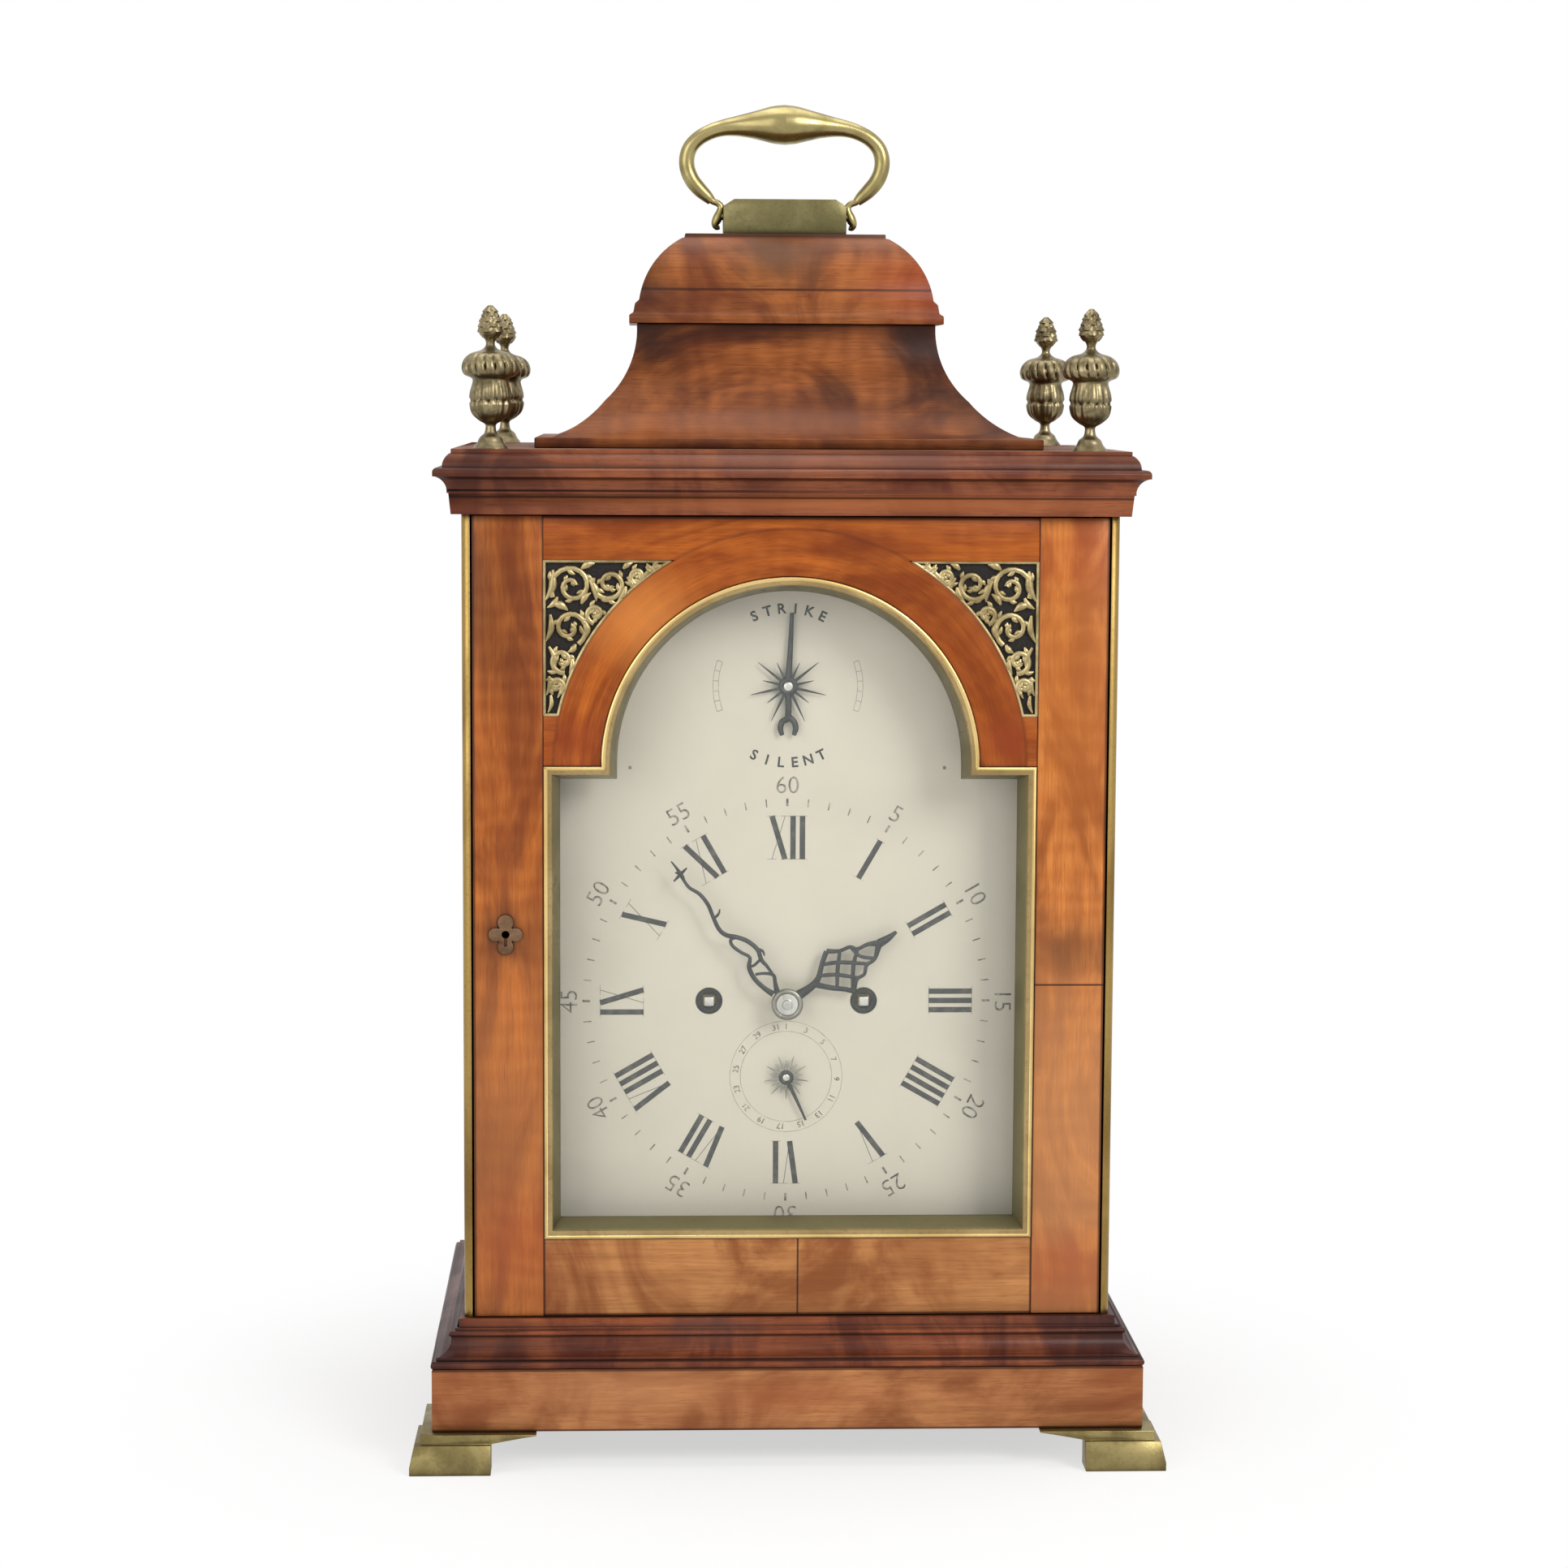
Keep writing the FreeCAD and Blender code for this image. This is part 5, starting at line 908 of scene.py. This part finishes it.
makeHand("hourHand", hands["hour"], "hour_wheel", "hour_hand")
makeHand("minuteHand", hands["minute"], "centre_arbor", "minute_hand")

smallHands = {
    # the star's rays: how many, the reach of the long and the short ones; then the needle's own run
    "strikeSilent": {"centre": (0.0, 293.2), "rays": 14, "long": 14.7, "short": 10.0, "hub": 3.3,
                     "star": "bluedSteel", "node": "strike_silent_hand",
                     "needle": [(0.1, 3, 1.2), (0.7, 14, 1.0), (1.3, 28, 0.75)],
                     "tails": [[(0, -3, 1.2), (0, -11.5, 1.2), (-2.2, -13.4, 1.15), (-2.9, -16, 1.1),
                                (-2.2, -18.6, 0.8)],
                               [(0, -11.5, 1.2), (2.2, -13.4, 1.15), (2.9, -16, 1.1), (2.2, -18.6, 0.8)]]},
    "date": {"centre": (0.0, 142.5), "rays": 18, "long": 8.6, "short": 6.6, "hub": 2.6,
             "star": "greySteel", "node": "date_hand",
             "needle": [(0.9, -2.2, 0.8), (4.4, -9.6, 0.6), (7.6, -16.7, 0.42)], "tails": []},
    # the same for both: planes, and sections as shares of the hub's radius
    "plane": -59.2, "starPlane": -58.95, "bossPlane": -59.3, "starFlat": 0.6, "flat": 0.7,
    "rayHalves": (0.75, 0.5, 0.12), "boss": [(0, -0.9), (0.45, -0.8), (0.6, -0.2), (0.6, 0.6)],
}


def makeSmallHand(name):
    # a star, the hand with its ring, and a boss over the arbor; body and node have one name
    look = smallHands[name]
    x, z = look["centre"]
    hub, node = look["hub"], look["node"]
    rays = []
    for k in range(look["rays"]):
        angle = 2 * math.pi * (k + 0.5) / look["rays"]
        reach = look["long"] if k % 2 else look["short"]
        run = zip((hub * 0.7, reach * 0.55, reach), smallHands["rayHalves"])
        rays.append([(x + r * math.cos(angle), z + r * math.sin(angle), half) for r, half in run])
    star = barMesh(rays, smallHands["starPlane"], smallHands["starFlat"], 1)
    makePiece(name + "Star", star, look["star"], node)
    runs = [flowing([(x + a, z + b, half) for a, b, half in run], 4)
            for run in [look["needle"], *look["tails"]]]
    runs.append(ringRun(look["centre"], hub * 0.8, hub * 0.32, 24))
    needle = barMesh(runs, smallHands["plane"], smallHands["flat"], 2)
    makePiece(name + "Hand", needle, "bluedSteel", node, (node,))
    outline = [(share * hub, height) for share, height in smallHands["boss"]]
    boss = turnedMesh(outline, 24, (x, smallHands["bossPlane"], z), True, 3)
    makePiece(name + "Boss", boss, "brightSteel", node)


makeSmallHand("strikeSilent")
makeSmallHand("date")

winding = {
    "sides": {"going": 29.7, "strike": -29.7}, "height": 172.0, "face": -57.05,
    # the collar's section: radius, and place behind the face of the dial
    "collar": [(2.9, 3.6), (2.9, 0.1), (3.3, -0.4), (3.9, -0.55), (4.5, -0.45), (4.9, -0.1), (4.9, 0.04)],
    "squareHalf": 1.8, "squareFront": -58.75, "squareBack": -54.0, "squareEdge": 0.35,
}


def makeWindingHoles():
    # a dark collar let into each winding hole, painted shade for the depth of the hole round the winding
    # square
    for train, x in winding["sides"].items():
        collar = turnedMesh(winding["collar"], 40, (x, winding["face"], winding["height"]), True, 3)
        makePiece(train + "Collar", collar, "blackIron", "case", (), 50)


collet = {"at": (0.0, -65.0, 172.0),
          "rim": [(4.0, 0.0), (4.1, 1.0), (4.6, 1.55), (5.3, 1.6), (5.9, 1.2), (6.1, 0.4), (6.0, 0.0)],
          "dish": [(0, 3.0), (1.4, 2.9), (1.8, 2.6), (1.8, 1.2), (2.9, 1.05), (4.2, 1.0), (4.3, 0.2),
                   (0, 0.1)]}


def makeCollet():
    # a dished washer with the end of the arbor's pin in its middle
    for name, key, finishName, stands in (("colletRim", "rim", "greySteel", ("hand_collet",)),
                                          ("colletDish", "dish", "brightSteel", ())):
        shape = turnedMesh([(radius, -height) for radius, height in collet[key]], 40, collet["at"], True)
        makePiece(name, shape, finishName, "centre_arbor", stands)


def makeSquares():
    # the steel ends that the winding key fits
    half, front, back = winding["squareHalf"], winding["squareFront"], winding["squareBack"]
    for train, x in winding["sides"].items():
        shape = bmesh.new()
        bmesh.ops.create_cube(shape, size=2.0)
        bmesh.ops.scale(shape, verts=shape.verts, vec=(half * mm, (back - front) / 2 * mm, half * mm))
        bmesh.ops.bevel(shape, geom=shape.edges[:], offset=winding["squareEdge"] * mm, offset_type="OFFSET",
                        affect="EDGES", segments=2, profile=0.5, material=-1)
        middle = (x * mm, (front + back) / 2 * mm, winding["height"] * mm)
        bmesh.ops.translate(shape, verts=shape.verts, vec=middle)
        makePiece(train + "Square", shape, "brightSteel", train + "_fusee", (), 40)


makeWindingHoles()
makeCollet()
makeSquares()
print("hands made")


handle = {
    "foot": 465.3,
    # half of the bar from its scroll to the middle of the grip: across, up from the foot, half width
    "bar": [(28.4, 13.0, 1.8), (30.2, 14.8, 2.4), (33.0, 17.4, 2.85), (36.0, 21.0, 3.0), (37.8, 25.2, 3.0),
            (38.1, 29.6, 3.0), (36.7, 33.8, 2.95), (33.4, 37.3, 2.9), (28.8, 39.8, 2.95), (24.2, 41.2, 3.2),
            (19.4, 41.9, 3.8), (14.2, 42.3, 4.8), (9.4, 42.5, 6.0), (4.6, 42.6, 7.2), (0.0, 42.6, 7.7)],
    # the scroll that ends the bar, curled down and in to the pin
    "scroll": [(29.6, 14.4, 1.6), (27.9, 13.0, 1.35), (26.0, 12.2, 1.3), (24.8, 10.8, 1.4), (25.0, 8.8, 1.7),
               (26.0, 6.6, 1.9), (26.9, 4.4, 1.6), (26.4, 2.9, 1.1), (25.2, 2.9, 0.7)],
    "pin": [(17.2, 7.3, 1.6), (26.8, 7.3, 1.6)],
}


def makeHandle():
    foot = handle["foot"]
    half = [(x, foot + z, radius) for x, z, radius in flowing(handle["bar"], 6)]
    runs = [half[:-1] + [(-x, z, radius) for x, z, radius in reversed(half)]]
    for side in (-1, 1):
        runs.append([(side * x, foot + z, radius) for x, z, radius in flowing(handle["scroll"])])
        runs.append([(side * x, foot + z, radius) for x, z, radius in handle["pin"]])
    makePiece("bailHandle", barMesh(runs, 0.0, 1.0, 8), "antiqueBrass", "handle",
              ("carrying_handle",))


makeHandle()
print("handle made")


bead = {"side": 91.4, "low": 86.5, "shoulder": 264.4, "arch": (265.3, 70.0), "plane": -85.4, "half": 0.8,
        "flat": 0.5}


def makeBead():
    # the rounded edge of the sight ring, run round the opening, in a lighter brass that is a painted
    # highlight
    side, low, shoulder = bead["side"], bead["low"], bead["shoulder"]
    archZ, radius = bead["arch"]
    angles = [math.pi * k / 72 for k in range(73)]
    arch = [(radius * math.cos(angle), archZ + radius * math.sin(angle)) for angle in angles]
    run = [(-side, shoulder), (-side, low), (side, low), (side, shoulder), (radius, shoulder), *arch,
           (-radius, shoulder), (-side, shoulder)]
    shape = barMesh([[(x, z, bead["half"]) for x, z in run]], bead["plane"], bead["flat"], 2)
    makePiece("ringBead", shape, "beadBrass", "front_door")


makeBead()
print("ring bead made")


plainNodes = {
    "carcassWood": ["bottom_board", "top_board", "dial_surround", "seat_board"],
    "clearGlass": ["door_glass", "back_door_glass"],
    "soundCloth": ["fret_backings"],
    "silveredDial": ["dial_plate"],
    "darkBrass": ["door_lock", "door_pivots", "strike_bell"],
    "movementBrass": ["front_plate", "back_plate", "plate_pillars", "back_cock", "bell_stand", "centre_wheel",
                      "cannon_wheel", "minute_wheel", "hour_wheel", "going_great_wheel", "going_fusee",
                      "going_barrel", "third_wheel", "escape_wheel", "strike_great_wheel", "strike_fusee",
                      "strike_barrel", "pin_wheel", "fly", "pendulum", "back_door_hinges",
                      "back_case_hinges"],
    "brightSteel": ["pallets", "hammer", "lock_bolt"],
}
for finishName, members in plainNodes.items():
    for member in members:
        coat(nodes[member], finishName)


studio = {
    # the floor is lifted to white where the camera sees it, and keeps the clock's shadow near its middle
    "floorTone": (0.95, 0.95, 0.95, 1.0), "floorSize": 8.0, "clearFrom": 0.1, "clearTo": 0.3, "lift": 0.6,
    "worldStrength": 0.4, "aim": (0, 0, 0.25),
    "lamps": {"key": {"at": (1.25, -1.6, 1.35), "size": 0.9, "power": 30.0},
              "fill": {"at": (-1.4, -1.6, 0.9), "size": 1.5, "power": 16.0},
              "over": {"at": (0.0, 0.1, 1.9), "size": 1.4, "power": 12.0}},
}


def seenRays(add):
    # 1 for what the camera sees straight, in gloss and through glass, and 0 for soft light
    rays = add("ShaderNodeLightPath").outputs
    seen = maths(add, "MAXIMUM", rays["Is Camera Ray"], rays["Is Glossy Ray"])
    return maths(add, "MAXIMUM", seen, rays["Is Transmission Ray"])


def makeFloor():
    shape = bmesh.new()
    bmesh.ops.create_grid(shape, x_segments=1, y_segments=1, size=studio["floorSize"])
    floor = linked("studioFloor", closed("studioFloor", shape))
    material, add, plug, spot = startFinish("studioPaper", 0.9)
    plug(studio["floorTone"], "Base Color")
    plug(0.1, "Specular IOR Level")
    reach = add("ShaderNodeVectorMath", {"operation": "LENGTH"}, i0=spot).outputs["Value"]
    clear = spread(add, reach, studio["clearFrom"], studio["clearTo"], studio["lift"], 1.0)
    parts = material.node_tree.nodes
    both = add("ShaderNodeMixShader", i0=maths(add, "MULTIPLY", seenRays(add), clear),
               i1=parts["Principled BSDF"].outputs[0], i2=add("ShaderNodeEmission").outputs[0])
    feed(parts["Material Output"].inputs[0], both.outputs[0])
    floor.data.materials.append(material)


def makeWorld():
    world = bpy.data.worlds.new("studioWorld")
    world.use_nodes = True
    bpy.context.scene.world = world
    add, background = adder(world.node_tree), world.node_tree.nodes["Background"].inputs
    feed(background["Color"], (1, 1, 1, 1))
    feed(background["Strength"], spread(add, seenRays(add), 0.0, 1.0, studio["worldStrength"], 1.0))


def makeLamps():
    for name, look in studio["lamps"].items():
        lamp = bpy.data.lights.new(name + "Lamp", "AREA")
        lamp.size = look["size"]
        lamp.energy = look["power"]
        holder = linked(name + "Lamp", lamp)
        holder.location = look["at"]
        aim = Vector(studio["aim"]) - Vector(look["at"])
        holder.rotation_euler = aim.to_track_quat("-Z", "Y").to_euler()


view = {"at": (-0.059, -1.423, 0.404), "tilt": 83.81, "turn": -2.385, "roll": -0.3, "lens": 82.75}


def makeCamera():
    camera = bpy.data.cameras.new("photoCamera")
    camera.lens = view["lens"]
    camera.sensor_width = 36.0
    camera.dof.use_dof = False
    holder = linked("photoCamera", camera)
    holder.location = view["at"]
    holder.rotation_euler = [math.radians(view[key]) for key in ("tilt", "roll", "turn")]
    bpy.context.scene.camera = holder


makeFloor()
makeWorld()
makeLamps()
makeCamera()
bpy.context.scene.view_settings.view_transform = "Standard"
print("studio made")
